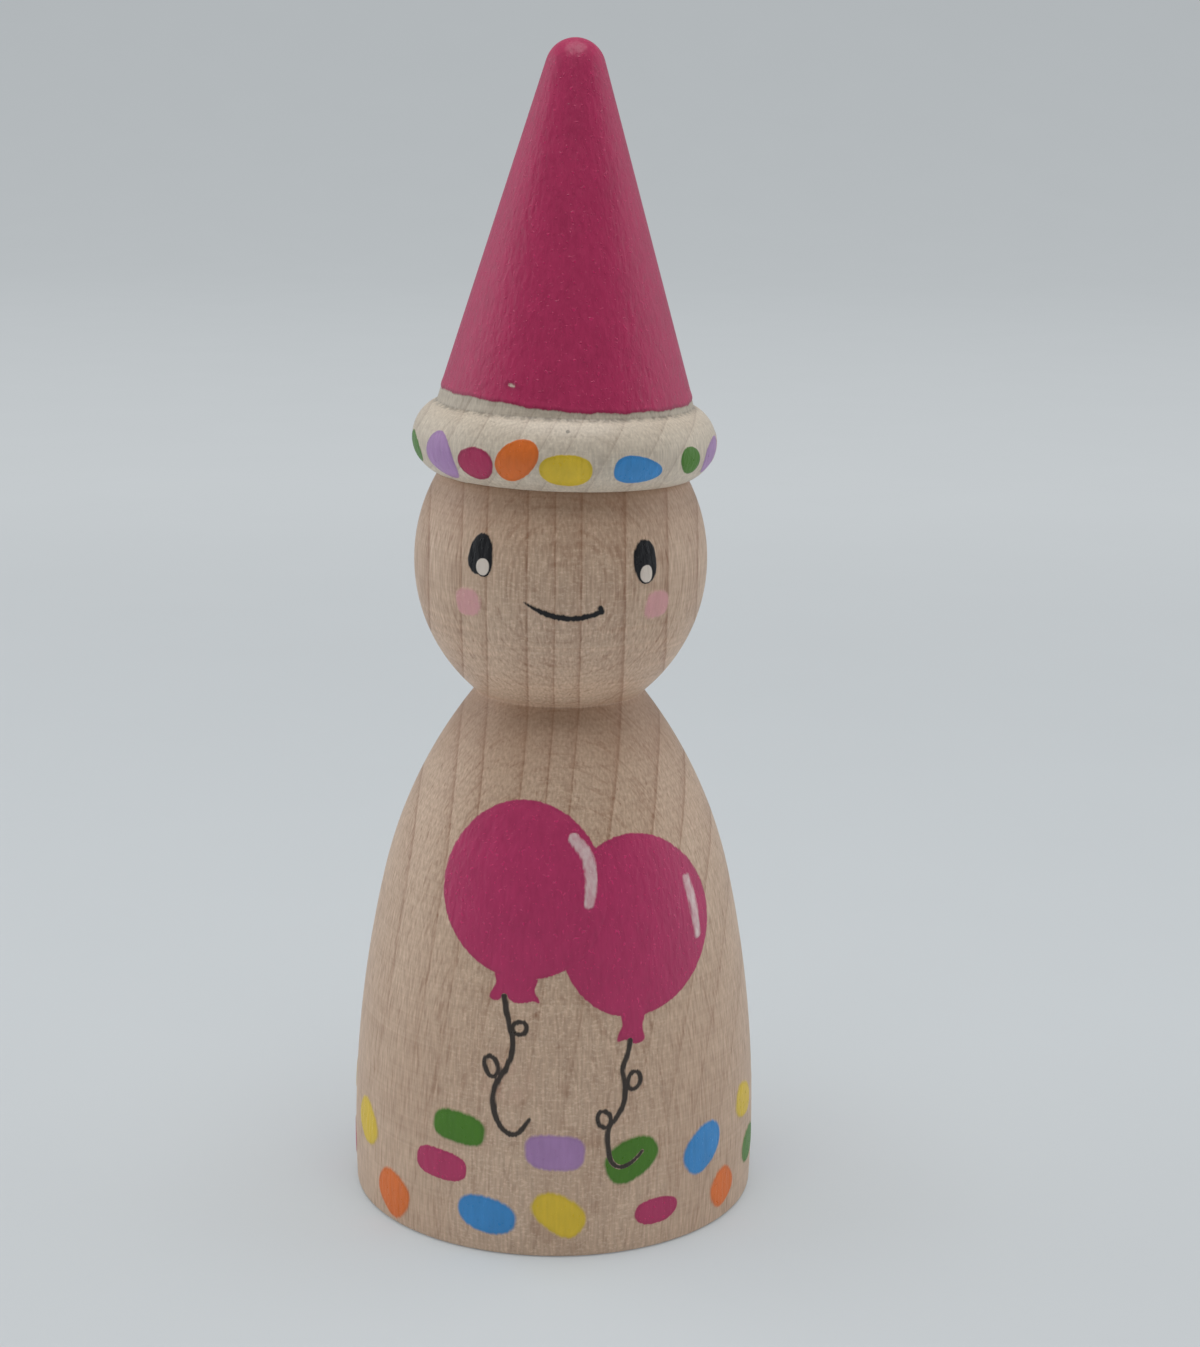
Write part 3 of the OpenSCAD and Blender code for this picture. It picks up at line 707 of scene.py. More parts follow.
def fill_grain(tree, given):
    """Growth rings, rays and fibres of quarter-cut wood, with the fine rings that turning leaves."""
    place = given["Place"]
    ragged = tree.swing(place, (2.5, 1.2, 0.25), 3.0)
    slow = tree.swing(place, (0.10, 0.06, 0.03), 1.0)
    across = tree.total(given["Across"], (ragged, 0.16), (slow, 0.9))
    widest = RING_REACH * doll().peg.body_r / MM
    counter = tree.put("FloatCurve", {"Value": tree.rise(across, -widest, widest)})
    curve = counter.mapping.curves[0]
    places = [(share / RING_REACH + 1) / 2 for share in RING_SHARES]
    count = len(places) - 1
    curve.points[0].location = (places[0], 0.0)
    for i in range(1, count):
        curve.points.new(places[i], i / count)
    curve.points[-1].location = (places[-1], 1.0)
    for point in curve.points:
        point.handle_type = "VECTOR"
    counter.mapping.update()
    rings = tree.math("FRACT", tree.times(counter.outputs[0], float(count)))
    line = tree.times(tree.step(rings, 0.90, 0.97), tree.step(rings, 0.97, 1.0, 1.0, 0.0))
    late = tree.times(tree.total(tree.math("POWER", rings, 3.2), (line, 0.8)), given["Ring Depth"])

    # Rays show as flecks where the wood faces forward or back, and as fine arcs elsewhere
    facing = tree.put("SeparateXYZ", {0: given["Facing"]}).outputs["Y"]
    flat = tree.step(tree.math("ABSOLUTE", facing), 0.72, 1.0)
    grains = tree.noise(place, (2.3, 2.3, 3.8), 3.0)
    flecks = tree.times(tree.step(grains, 0.52, 0.64), flat)
    arcs = tree.step(tree.noise(place, (0.30, 3.6, 0.30), 2.0), 0.55, 0.68)
    fibres = tree.swing(place, (4.4, 4.4, 0.45), 2.0)
    dashes = tree.step(tree.noise(place, (3.2, 3.2, 0.34), 1.0), 0.67, 0.77)
    patches = tree.swing(place, (0.09, 0.09, 0.05), 1.0)
    lathe = tree.swing(place, (0.02, 0.02, 3.4), 2.0)

    rays, depth = given["Ray Depth"], given["Fibre Depth"]
    dark = tree.total(
        late, (patches, 0.45), (fibres, depth), (dashes, tree.times(depth, 0.45)), (arcs, rays),
        (flecks, tree.times(rays, -1.2)), (lathe, 0.45), (tree.math("SUBTRACT", grains, 0.5), -0.25))
    tint = tree.blend(tree.rise(dark, -0.45, 1.0), given["Plain"], given["Dark"])
    height = tree.total(tree.times(flecks, tree.times(rays, 0.030)), (fibres, tree.times(depth, 0.035)),
                        (lathe, 0.030), (dashes, -0.015), (arcs, -0.012))
    return {"Color": tree.shaded(tint, tree.total(1.0, (fibres, -0.40))),
            "Roughness": tree.total(0.47, (fibres, 0.15), (flecks, -0.08)), "Height": height}


def fill_paint(tree, given):
    """Brush streaks, uneven cover and pooled edges of thin acrylic paint."""
    place, amount = given["Place"], given["Streaks"]
    streaks = tree.swing(place, (2.4, 2.4, 0.30), 3.0)
    mottle = tree.swing(place, (0.45, 0.45, 0.25), 3.0)
    specks = tree.step(tree.noise(place, (3.8, 3.8, 3.2), 0.0), 0.70, 0.77)
    lumps = tree.swing(place, (1.5, 1.5, 0.8), 2.0)
    tone = tree.total(1.0, (streaks, amount), (mottle, tree.times(amount, 0.9)), (specks, given["Specks"]))
    pooled = tree.times(tree.step(given["Edge"], 0.05, 0.45, 1.0, 0.0), given["Pool"])
    return {"Color": tree.shaded(given["Paint"], tree.math("SUBTRACT", tone, pooled)),
            "Roughness": tree.total(0.46, (specks, -0.20), (streaks, 0.20)),
            "Height": tree.total(tree.times(specks, 0.035), (streaks, 0.065), (lumps, 0.10))}


def fill_edge(tree, given):
    """Where paint shows: its edge creeps along the fibres, and a thin wash covers unevenly."""
    fibres = tree.swing(given["Place"], (3.4, 3.4, 0.50), 2.0)
    patches = tree.swing(given["Place"], (1.9, 1.9, 0.9), 3.0)
    edge = tree.total(given["Edge"], (fibres, given["Creep"]))
    mask = tree.step(edge, tree.times(given["Softness"], -1.0), given["Softness"])
    cover = tree.total(given["Cover"], (patches, given["Patches"]))
    return {"Mask": tree.times(mask, tree.math("MINIMUM", tree.math("MAXIMUM", cover, 0.0), 1.0))}


# Each shared node group: the function that fills it, what goes in and what comes out
SURFACE = ("Color", "Roughness", "Height")
GROUPS = {
    "Wood grain": (
        fill_grain,
        ("Place", "Facing", "Across", "Plain", "Dark", "Ring Depth", "Ray Depth", "Fibre Depth"), SURFACE),
    "Brushed paint": (fill_paint, ("Place", "Paint", "Edge", "Streaks", "Specks", "Pool"), SURFACE),
    "Paint edge": (fill_edge, ("Place", "Edge", "Creep", "Softness", "Cover", "Patches"), ("Mask",)),
}
# Kinds of the sockets that aren't plain numbers
SOCKET_KINDS = {
    "Place": "Vector", "Facing": "Vector", "Plain": "Color", "Dark": "Color", "Paint": "Color",
    "Color": "Color",
}


def make_group(name):
    """A node group with its named sockets and its nodes."""
    fill, inputs, outputs = GROUPS[name]
    made = bpy.data.node_groups.new(name, "ShaderNodeTree")
    for in_out, sockets in (("INPUT", inputs), ("OUTPUT", outputs)):
        for socket in sockets:
            kind = "NodeSocket" + SOCKET_KINDS.get(socket, "Float")
            made.interface.new_socket(name=socket, in_out=in_out, socket_type=kind)
    tree = Tree(made)
    tree.put("NodeGroupOutput", fill(tree, tree.put("NodeGroupInput").outputs))
    return made


def screen_colour(name):
    """One of the colour settings, as a node takes it."""
    return (*getattr(doll().colours, name), 1.0)


def wood_grain(tree, place, wood, across, ring_depth, ray_depth, fibre_depth):
    """The plain colour, roughness and height of a wood, its rings counted across it."""
    return tree.grouped("Wood grain", {
        "Place": place, "Facing": tree.put("TexCoord").outputs["Normal"], "Across": across,
        "Plain": screen_colour(wood), "Dark": screen_colour(wood + "_dark"),
        "Ring Depth": ring_depth, "Ray Depth": ray_depth, "Fibre Depth": fibre_depth})


def beech(tree, place):
    """Colour, roughness and height of the head and body."""
    x, _, z = tree.put("SeparateXYZ", {0: place}).outputs
    neck = doll().peg.neck_z / MM
    above = tree.math("SUBTRACT", z, neck)
    # The rings bend out below the neck and grow faint towards the foot
    below = tree.math("MAXIMUM", tree.math("SUBTRACT", neck, z), 0.0)
    bend = tree.times(below, tree.total(0.08, (below, 0.0015)))
    tint, rough, height = wood_grain(
        tree, place, "beech", tree.math("ADD", x, bend), tree.step(z, 10.0, 46.0, 0.12, 0.42), 0.30,
        tree.step(z, 8.0, 36.0, 0.62, 1.0))
    # Turning left pale rings low on the head
    tooled = tree.step(tree.noise(place, (0.06, 0.06, 1.5), 1.0), 0.50, 0.72, 0.0, 0.09)
    tooled = tree.times(tooled, tree.step(above, -0.5, 1.0))
    tooled = tree.times(tooled, tree.step(above, 6.0, 14.0, 1.0, 0.15))
    tint = tree.shaded(tint, tree.math("ADD", 1.0, tooled))
    # A faint stain low on the body
    stain = tree.times(tree.step(tree.distance(place, STAIN_PLACE), 0.5, 3.6, 0.24, 0.0),
                       tree.step(tree.noise(place, (0.7, 0.7, 0.5), 2.0), 0.35, 0.65))
    tint = tree.blend(stain, tint, screen_colour("stain"))
    # Painted shade: the wood is made warmer and darker under the brim and in the neck crease
    brim_neck_shade = tree.times(tree.step(above, 15.0, 23.0), tree.step(above, 23.0, 27.0, 0.42, 0.0))
    brim_neck_shade = tree.total(brim_neck_shade, (tree.step(above, -8.0, -0.5), tree.step(above, -0.2, 0.8, 0.35, 0.0)))
    return tree.blend(brim_neck_shade, tint, screen_colour("brim_neck_shade")), rough, height


def maple(tree, place):
    """Colour, roughness and height of the hat."""
    x, _, z = tree.put("SeparateXYZ", {0: place}).outputs
    # Heights are measured from the corner between the brim and the cone. The rings slant across the hat.
    rise = tree.math("SUBTRACT", z, HatShape().foot_z / MM)
    tint, rough, height = wood_grain(tree, place, "maple", tree.total(x, (rise, -0.58)), 0.32, 0.22, 0.7)
    # Painted shade darkens the bare band under the coat, the wood above it is a little lighter, a dotted
    # dark line in the corner is partly dark grain and partly painted shade in the crease, and there is one
    # small knot
    lean = tree.total(rise, (x, math.sin(doll().hat.lean)))
    band = tree.times(tree.step(lean, -0.12, 0.10), tree.step(lean, 1.9, 2.3, 0.16, -0.10))
    corner = tree.times(tree.step(lean, -0.30, -0.06), tree.step(lean, -0.02, 0.22, 1.0, 0.0))
    dotted = tree.step(tree.noise(place, (1.9, 1.9, 0.9), 1.0), 0.42, 0.60, 0.12, 0.42)
    knot = tree.step(tree.distance(place, KNOT_PLACE), 0.12, 0.26, 0.55, 0.0)
    # The painted shade of the band and the crease, together with the knot's own darker tone
    shade = tree.math("ADD", tree.total(band, (corner, dotted)), knot)
    return tree.shaded(tint, tree.math("SUBTRACT", 1.0, shade)), rough, height


WOODS = {"beech": beech, "maple": maple}


def new_material(name):
    """An empty material, its tree, and the place of a point on its piece in millimetres."""
    material = bpy.data.materials.new(name)
    material.use_nodes = True
    material.node_tree.nodes.clear()
    tree = Tree(material.node_tree)
    return material, tree, tree.stretched(tree.put("TexCoord").outputs["Object"], (1 / MM,) * 3)


def finish_material(tree, shine, tint, rough, height):
    """The shader at the end of a material, with its bumps in millimetres."""
    bump = tree.put("Bump", {"Height": height, "Distance": MM, "Strength": 1.0})
    shader = tree.put("BsdfPrincipled", {
        "Base Color": tint, "Roughness": rough, "Specular IOR Level": shine,
        "Normal": bump.outputs["Normal"]})
    tree.put("OutputMaterial", {"Surface": shader.outputs[0]})


def wood_material(wood):
    """Bare turned wood."""
    material, tree, place = new_material(wood.capitalize())
    finish_material(tree, WOOD_SHINE, *WOODS[wood](tree, place))
    return material


def paint_material(paint, under, streaks=0.25, specks=0.06, creep=0.25, softness=0.07, cover=1.0,
                   patches=0.0, pool=0.1):
    """Paint that fades at its edge into the wood or the paint under it."""
    name = paint.capitalize() + " on " + under
    if name in bpy.data.materials:
        return bpy.data.materials[name]
    material, tree, place = new_material(name)
    edge = tree.put("Attribute", attribute_name="paint_edge").outputs["Fac"]

    def coat(tone, depth):
        """The colour, roughness and height of one coat, darker by a depth where it pooled at its edge."""
        return tree.grouped("Brushed paint", {
            "Place": place, "Paint": screen_colour(tone), "Edge": edge, "Streaks": streaks,
            "Specks": specks, "Pool": depth})

    below = WOODS[under](tree, place) if under in WOODS else coat(under, depth=0.0)
    mask = tree.grouped("Paint edge", {
        "Place": place, "Edge": edge, "Creep": creep, "Softness": softness, "Cover": cover,
        "Patches": patches})["Mask"]
    layers = zip(below, coat(paint, pool), ("RGBA", "FLOAT", "FLOAT"))
    finish_material(tree, PAINT_SHINE, *(tree.blend(mask, a, b, kind) for a, b, kind in layers))
    return material


def add_lamp(name, place, size, power, tint):
    """A soft lamp that faces the doll."""
    light = bpy.data.lights.new(name, "AREA")
    light.shape = "RECTANGLE"
    light.size, light.size_y = size
    light.energy = power
    light.color = tint
    lamp = placed(name, light)
    lamp.location = place
    lamp.rotation_euler = (Vector(LAMP_AIM) - lamp.location).to_track_quat("-Z", "Y").to_euler()


def add_camera(stage):
    """The camera that the photograph was fitted with."""
    data = bpy.data.cameras.new("Camera")
    data.sensor_width = 36
    data.lens = stage.lens
    data.clip_start = 0.01
    camera = placed("Camera", data)
    pitch, yaw = stage.camera_pitch, stage.camera_yaw
    ahead = Vector((math.sin(yaw) * math.cos(pitch), math.cos(yaw) * math.cos(pitch), -math.sin(pitch)))
    right = Vector((math.cos(yaw), -math.sin(yaw), 0))
    level = Matrix((right, right.cross(ahead), -ahead)).transposed()
    turn = level @ Matrix.Rotation(stage.camera_roll, 3, "Z")
    place = Vector((0, -stage.camera_distance, stage.camera_height))
    camera.matrix_world = Matrix.Translation(place) @ turn.to_4x4()
    bpy.context.scene.camera = camera


def sweep_material(stage):
    """The pale sweep: near the doll it is lit and takes the doll's shadow, which a share of painted tone
    lightens; far off the camera sees only a painted tone that grows darker with distance, as painted shade.
    """
    material, tree, place = new_material("Sweep")
    # How far behind the doll, in millimetres
    back = tree.put("SeparateXYZ", {0: place}).outputs["Y"]
    fade = tree.rise(back, 150.0, (SWEEP_BACK + SWEEP_BEND) / MM)
    tint = tree.blend(fade, (*stage.near, 1.0), (*stage.far, 1.0))
    tint = tree.shaded(tint, tree.total(0.99, (tree.noise(place, (0.03,) * 3, 2.0), 0.02)))
    ray = tree.put("LightPath").outputs
    seen = tree.math("MAXIMUM", ray["Is Camera Ray"], ray["Is Glossy Ray"])
    seen = tree.math("MAXIMUM", seen, ray["Is Transmission Ray"])
    shader = tree.put("BsdfPrincipled", {
        "Base Color": tree.blend(seen, BOUNCE_TONE, tint), "Roughness": 0.8})
    plain = tree.put("Emission", {"Color": tint})
    # Far off the camera sees only the painted tone; near the doll three tenths of it is painted light that
    # lifts the doll's shadow
    far_off = tree.times(seen, tree.step(back, 120.0, 450.0, 0.3, 1.0))
    surface = tree.put("MixShader", {0: far_off, 1: shader.outputs[0], 2: plain.outputs[0]})
    tree.put("OutputMaterial", {"Surface": surface.outputs[0]})
    return material


class PEGDOLL_OT_stage(bpy.types.Operator):
    """Add the pale sweep, the lamps and the camera"""
    bl_idname = "peg_doll.add_stage"
    bl_label = "Stage"

    def execute(self, context):
        stage = doll().stage
        add_camera(stage)
        across, back, rise = SIDE_LAMP_PLACE
        for name, side, share in (("Left lamp", -1, 1.0), ("Right lamp", 1, RIGHT_LAMP_SHARE)):
            add_lamp(name, (side * across, back, rise), SIDE_LAMP_SIZE, share * stage.side_power,
                     stage.side_tint)
        add_lamp("Top lamp", TOP_LAMP_PLACE, TOP_LAMP_SIZE, stage.top_power, (1.0, 1.0, 1.0))
        world = bpy.data.worlds.new("Tent")
        world.use_nodes = True
        world.node_tree.nodes["Background"].inputs["Color"].default_value = TENT_TONE
        context.scene.world = world
        context.scene.view_settings.view_transform = "Standard"

        # Side view of the sweep: flat as far as the bend, and then upright
        line = [(y, 0.0) for y in SWEEP_FLAT]
        line += [(SWEEP_BACK + SWEEP_BEND * math.sin(a), SWEEP_BEND * (1 - math.cos(a)))
                 for a in np.linspace(0, math.pi / 2, 24)]
        line.append((SWEEP_BACK + SWEEP_BEND, SWEEP_TOP))
        points = [(side * SWEEP_HALF_WIDTH, y, z) for y, z in line for side in (-1, 1)]
        faces = [(2 * i, 2 * i + 1, 2 * i + 3, 2 * i + 2) for i in range(len(line) - 1)]
        sweep = placed("Sweep", smooth_mesh("Sweep", points, faces, sweep_material(stage)))
        return {"FINISHED"}


class PEGDOLL_OT_peg(bpy.types.Operator):
    """Add the turned head and body"""
    bl_idname = "peg_doll.add_peg"
    bl_label = "Head and body"

    def execute(self, context):
        peg = doll().peg
        shape = PegShape()
        foot = shape.belly.at(0.0)
        in_foot = (foot[0] - peg.foot_soft, 0.0)
        under_neck = shape.shoulder.at(peg.neck_z - peg.neck_soft)
        over_neck = shape.head.at(peg.neck_z + peg.neck_soft)
        outline = [(0.0, 0.0), in_foot, *eased(in_foot, foot, shape.belly.at(peg.foot_soft))]
        outline += shape.belly.points(peg.foot_soft, peg.shoulder_z)
        outline += shape.shoulder.points(peg.shoulder_z, under_neck[1])[1:]
        outline += eased(under_neck, (peg.neck_r, peg.neck_z), over_neck)
        outline += shape.head.points(over_neck[1], shape.crown_z)
        outline.append((0.0, shape.crown_z))
        piece = add_piece("turned_peg", *revolve(outline), wood_material("beech"), "beech", "peg")
        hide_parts("peg_body")
        return {"FINISHED"}


class PEGDOLL_OT_hat(bpy.types.Operator):
    """Add the turned hat"""
    bl_idname = "peg_doll.add_hat"
    bl_label = "Hat"

    def execute(self, context):
        hat = doll().hat
        shape = HatShape()
        under_cove = shape.bead.at(shape.foot_z - 0.5 * hat.cove_soft)
        side = [(shape.cone_radius(z), z)
                for z in np.linspace(shape.foot_z + hat.cove_soft, shape.touch_z, CONE_STEPS)]
        outline = [(0.0, shape.hollow_z), *shape.hollow.points(shape.hollow_z, shape.seat_z)]
        outline += shape.bead.points(shape.seat_z, under_cove[1], 0.2 * MM)
        outline += eased(under_cove, (shape.foot_r, shape.foot_z), side[0])
        outline += side
        outline += shape.tip.points(shape.touch_z, shape.tip.middle_z + hat.tip_r * 0.9999)[1:]
        outline.append((0.0, shape.tip.middle_z + hat.tip_r))
        points, faces = revolve(outline)
        points = lean_with_hat(points)
        piece = add_piece("turned_hat", points, faces, wood_material("maple"), "maple", "hat")
        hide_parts("hat")
        return {"FINISHED"}


class PEGDOLL_OT_cone_coat(bpy.types.Operator):
    """Add the pink coat on the cone of the hat"""
    bl_idname = "peg_doll.add_cone_coat"
    bl_label = "Cone coat"

    def execute(self, context):
        tip_r = doll().hat.tip_r
        paint = doll().paint
        shape = HatShape()
        turns = np.arange(COAT_STEPS) * 2 * math.pi / COAT_STEPS
        # Slow waves and small ones, for an edge that was cut in by hand
        wander = (np.cos(turns - math.radians(37)) + np.cos(2 * turns - math.radians(70)) / 2
                  + np.cos(5 * turns) / 6 + 0.12 * np.sin(17 * turns) + 0.07 * np.sin(41 * turns + 1))
        edge_z = shape.foot_z + paint.bare_band - paint.edge_wander * wander
        flank = math.atan2(shape.foot_r - shape.touch_r, shape.touch_z - shape.foot_z)
        rows = []
        for s in np.linspace(0, 1, 90) ** 2:
            z = (edge_z - paint.margin) * (1 - s) + shape.touch_z * s
            rows.append((shape.cone_radius(z), z, flank))
        for a in np.linspace(flank, math.pi / 2, 14)[1:]:
            z = np.full(COAT_STEPS, shape.tip.middle_z + tip_r * math.sin(a))
            rows.append((tip_r * math.cos(a), z, a))
        points, edges = [], []
        for r, z, rise in rows:
            depth = z - edge_z
            # The nick is a slanted oval
            across = 2 * r * np.sin((turns - math.radians(NICK_TURN)) / 2)
            above = depth - NICK_RISE * paint.nick
            depth = np.minimum(depth, 0.5 * (np.hypot(across - 0.5 * above, 2 * above) - paint.nick))
            # The paint stands a little higher along its edge
            bead = 0.5 * paint.relief * np.exp(-((depth - 0.25 * MM) / (0.3 * MM)) ** 2)
            lift = film_lift(depth, paint.margin) + bead
            out = r + lift * math.cos(rise)
            z = z + lift * math.sin(rise)
            points.append(np.stack([out * np.sin(turns), -out * np.cos(turns), z], axis=-1))
            edges.append(depth)
        low = np.arange((len(rows) - 1) * COAT_STEPS).reshape(-1, COAT_STEPS)
        side = np.roll(low, -1, axis=1)
        quads = np.stack([low, side, side + COAT_STEPS, low + COAT_STEPS], axis=-1).reshape(-1, 4)
        material = paint_material(
            "pink", "maple", streaks=0.30, specks=0.26, creep=0.22, softness=0.09, pool=0.25)
        coat = (np.vstack(points), quads, np.concatenate(edges))
        add_paint("hat_cone_coat", [coat], material, "pink_paint", "hat")
        return {"FINISHED"}


def dab_films(dabs, painted, radius, from_z, unit, l, w, cell):
    """Films of the dabs of one colour, laid out around a turned side as the tables of shares say."""
    films = []
    for i, (tint, turn, rise, long, broad, tilt, point, boxy) in enumerate(dabs):
        if tint == painted:
            middle = (0.0, from_z + rise * unit)
            line = blob(middle, long * l, broad * w, math.radians(tilt), point, boxy, i)
            films.append(film(outlined(line), radius, math.radians(turn), cell))
    return films


class PEGDOLL_OT_brim_dots(bpy.types.Operator):
    """Add the painted dots around the brim"""
    bl_idname = "peg_doll.add_brim_dots"
    bl_label = "Brim dots"

    def execute(self, context):
        paint = doll().paint
        bead = HatShape().bead
        first, last = BRIM_DOT_SHARES[0][0], BRIM_DOT_SHARES[-1][0]
        dots = list(BRIM_DOT_SHARES)
        # The dots go on round the back, with waves in place of the hand's unevenness
        for i in range(1, BACK_DOTS + 1):
            wave = [math.sin(math.radians(k * i)) for k in (100, 150, 140)]
            dots.append((last + i * ((360 + first - last) / (BACK_DOTS + 1)), 0.08 * wave[0] - 0.2,
                         0.94 + 0.08 * wave[1], 0.94 + 0.06 * math.cos(math.radians(110 * i)),
                         28 * wave[2], 0.1, 0.3))
        # The colours follow one another in their order all the way round
        dots = [(i % len(COLOURS), *dot) for i, dot in enumerate(dots)]
        for index, tint in enumerate(COLOURS):
            films = dab_films(
                dots, index, bead.radius, bead.middle_z, bead.arc_r, paint.dot_l, paint.dot_w,
                cell=0.12 * MM)
            material = paint_material(tint, "maple", creep=0.12, softness=0.06, pool=0.12)
            add_paint("brim_dots_" + tint, films, material, tint + "_paint", "hat")
        return {"FINISHED"}


class PEGDOLL_OT_eyes(bpy.types.Operator):
    """Add the painted eyes and their light spots"""
    bl_idname = "peg_doll.add_eyes"
    bl_label = "Eyes"

    def execute(self, context):
        face = doll().face
        shape = PegShape()
        black = paint_material("black", "beech", streaks=0.2, creep=0.35, softness=0.10, pool=0.0)
        white = paint_material("glint", "black", streaks=0.12, creep=0.08, softness=0.05, pool=0.0)
        for name, side in SIDES.items():
            turn = face.turn + side * face.eye_spread
            point, shift, drop = EYE_SHARES[side]
            z = shape.head_z + face.eye_rise - drop * face.eye_drop
            tilt = math.pi / 2 + side * math.radians(2)
            eye = outlined(blob((0.0, z), face.eye_h, face.eye_w, tilt, point, boxy=0.10, wobble=side))
            eye_film = film(eye, shape.head.radius, turn, cell=0.06 * MM)
            add_paint("eye_" + name, [eye_film], black, "black_paint", "peg")
            middle = (shift * face.glint_shift, z - (face.eye_h - face.glint_h) / 2 + 0.05 * MM)
            spot = outlined(blob(
                middle, face.glint_h, face.glint_w, math.pi / 2, boxy=0.1, wobble=side))
            spot_film = film(spot, shape.head.radius, turn, cell=0.05 * MM, margin=0.12 * MM,
                             base=doll().paint.relief)
            add_paint("eye_glint_" + name, [spot_film], white, "white_paint", "peg")
        return {"FINISHED"}


class PEGDOLL_OT_cheeks(bpy.types.Operator):
    """Add the thin pink wash of the cheeks"""
    bl_idname = "peg_doll.add_cheeks"
    bl_label = "Cheeks"

    def execute(self, context):
        face = doll().face
        shape = PegShape()
        wash = paint_material(
            "cheek", "beech", streaks=0.15, creep=0.5, softness=0.22, cover=0.85, patches=0.35, pool=0.0)
        for name, side in SIDES.items():
            line = blob((0.0, shape.head_z - face.cheek_drop), face.cheek_h, face.cheek_w,
                        math.pi / 2, point=0.1 * side, boxy=0.35, wobble=2 * side)
            turn = face.turn + side * face.cheek_spread
            cheek = film(outlined(line), shape.head.radius, turn, cell=0.08 * MM)
            add_paint("cheek_" + name, [cheek], wash, "cheek_paint", "peg")
        return {"FINISHED"}


class PEGDOLL_OT_smile(bpy.types.Operator):
    """Add the painted smile"""
    bl_idname = "peg_doll.add_smile"
    bl_label = "Smile"

    def execute(self, context):
        face = doll().face
        shape = PegShape()
        lowest = shape.head_z - face.smile_drop
        line = [(s * face.smile_w / 2, lowest + face.smile_sag * s ** 2 - face.smile_slant * s)
                for s in np.linspace(-1, 1, 17)]
        # The brush turned up a little where it was lifted
        line.append((line[-1][0] - 0.1 * face.smile_sag, line[-1][1] + 0.3 * face.smile_sag))
        smile = stroked(np.array(line), face.smile_t, start=0.25)
        smile_film = film(smile, shape.head.radius, face.turn, cell=0.06 * MM, margin=0.3 * MM)
        black = paint_material("black", "beech")
        add_paint("smile", [smile_film], black, "black_paint", "peg")
        return {"FINISHED"}


class Balloon:
    """Where one of the painted balloons lies on the flat."""

    def __init__(self, side):
        balloons = doll().balloons
        size, tilt, self.point, self.wobble, self.stroke = BALLOON_SHARES[side]
        self.width = balloons.balloon_w * size
        self.height = balloons.balloon_h * size
        self.tilt = math.radians(tilt)
        across = (side + 1) / 2 - RIGHT_BALLOON_SHARE
        self.middle = np.array((balloons.bunch_spread * across,
                                balloons.bunch_z - side * balloons.bunch_step / 2))

    def below(self, x, y):
        """A place as shares of the frill's size from the lowest place, along the tilted axes."""
        x = x * doll().balloons.frill_w
        y = self.height / 2 - y * doll().balloons.frill_h
        return self.middle + (x * math.cos(self.tilt) + y * math.sin(self.tilt),
                              x * math.sin(self.tilt) - y * math.cos(self.tilt))

    def mark(self, frill_shares):
        """The balloon with its frilled end."""
        body = blob(self.middle, self.height, self.width, math.pi / 2 + self.tilt, self.point,
                    wobble=self.wobble)
        frill = smooth_line([self.below(x, y) for x, y in frill_shares], 6, closed=True)
        return joined(outlined(body), outlined(frill))


class PEGDOLL_OT_balloons(bpy.types.Operator):
    """Add the two painted balloons and their light strokes"""
    bl_idname = "peg_doll.add_balloons"
    bl_label = "Balloons"

    def execute(self, context):
        balloons = doll().balloons
        radius = PegShape().body_radius
        pink = paint_material(
            "rose", "beech", streaks=0.30, specks=0.34, creep=0.24, softness=0.08, pool=0.08)
        stroke = paint_material(
            "white", "rose", streaks=0.2, creep=0.45, softness=0.18, cover=0.62, patches=0.9, pool=0.0)
        front, behind = (Balloon(side).mark(FRILL_SHARES[side]) for side in (RIGHT, LEFT))
        for name, side in SIDES.items():
            mark = front if side == RIGHT else cut_by(behind, front)
            # The two have no edge of paint where they meet
            balloon = film(mark, radius, balloons.turn, cell=0.2 * MM, shown=joined(front, behind))
            add_paint("balloon_" + name, [balloon], pink, "pink_paint", "peg")
            place = Balloon(side)
            line = smooth_line([place.middle + (x * place.width / 2, y * place.height / 2)
                                for x, y in SHINE_SHARES[side]])
            shine = stroked(line, balloons.shine_w * place.stroke, start=0.9, end=0.8)
            shine_film = film(shine, radius, balloons.turn, cell=0.1 * MM, margin=0.3 * MM,
                              base=doll().paint.relief)
            add_paint("balloon_shine_" + name, [shine_film], stroke, "white_paint", "peg")
        return {"FINISHED"}


class PEGDOLL_OT_strings(bpy.types.Operator):
    """Add the pen lines of the balloons' strings"""
    bl_idname = "peg_doll.add_strings"
    bl_label = "Strings"

    def execute(self, context):
        balloons = doll().balloons
        unit = balloons.string_h
        pen = paint_material(
            "string", "beech", streaks=0.4, creep=0.36, softness=0.10, cover=0.95, pool=0.0)
        for name, side in SIDES.items():
            top = Balloon(side).below(*STRING_TOP_SHARES[side])
            line = smooth_line([top + np.array(p) * unit for p in STRING_SHARES[side]])
            marks = [stroked(line, balloons.string_w, end=0.7)]
            for x, z, l, w, tilt in LOOP_SHARES[side]:
                loop = blob(top + np.array((x, z)) * unit, 2 * l * unit, 2 * w * unit, math.radians(tilt))
                marks.append(stroked(np.vstack([loop, loop[:1]]), 0.85 * balloons.string_w))
            string = film(joined(*marks), PegShape().body_radius, balloons.turn, cell=0.09 * MM,
                          margin=0.2 * MM, base=0.3 * doll().paint.relief)
            add_paint("balloon_string_" + name, [string], pen, "string_ink", "peg")
        return {"FINISHED"}


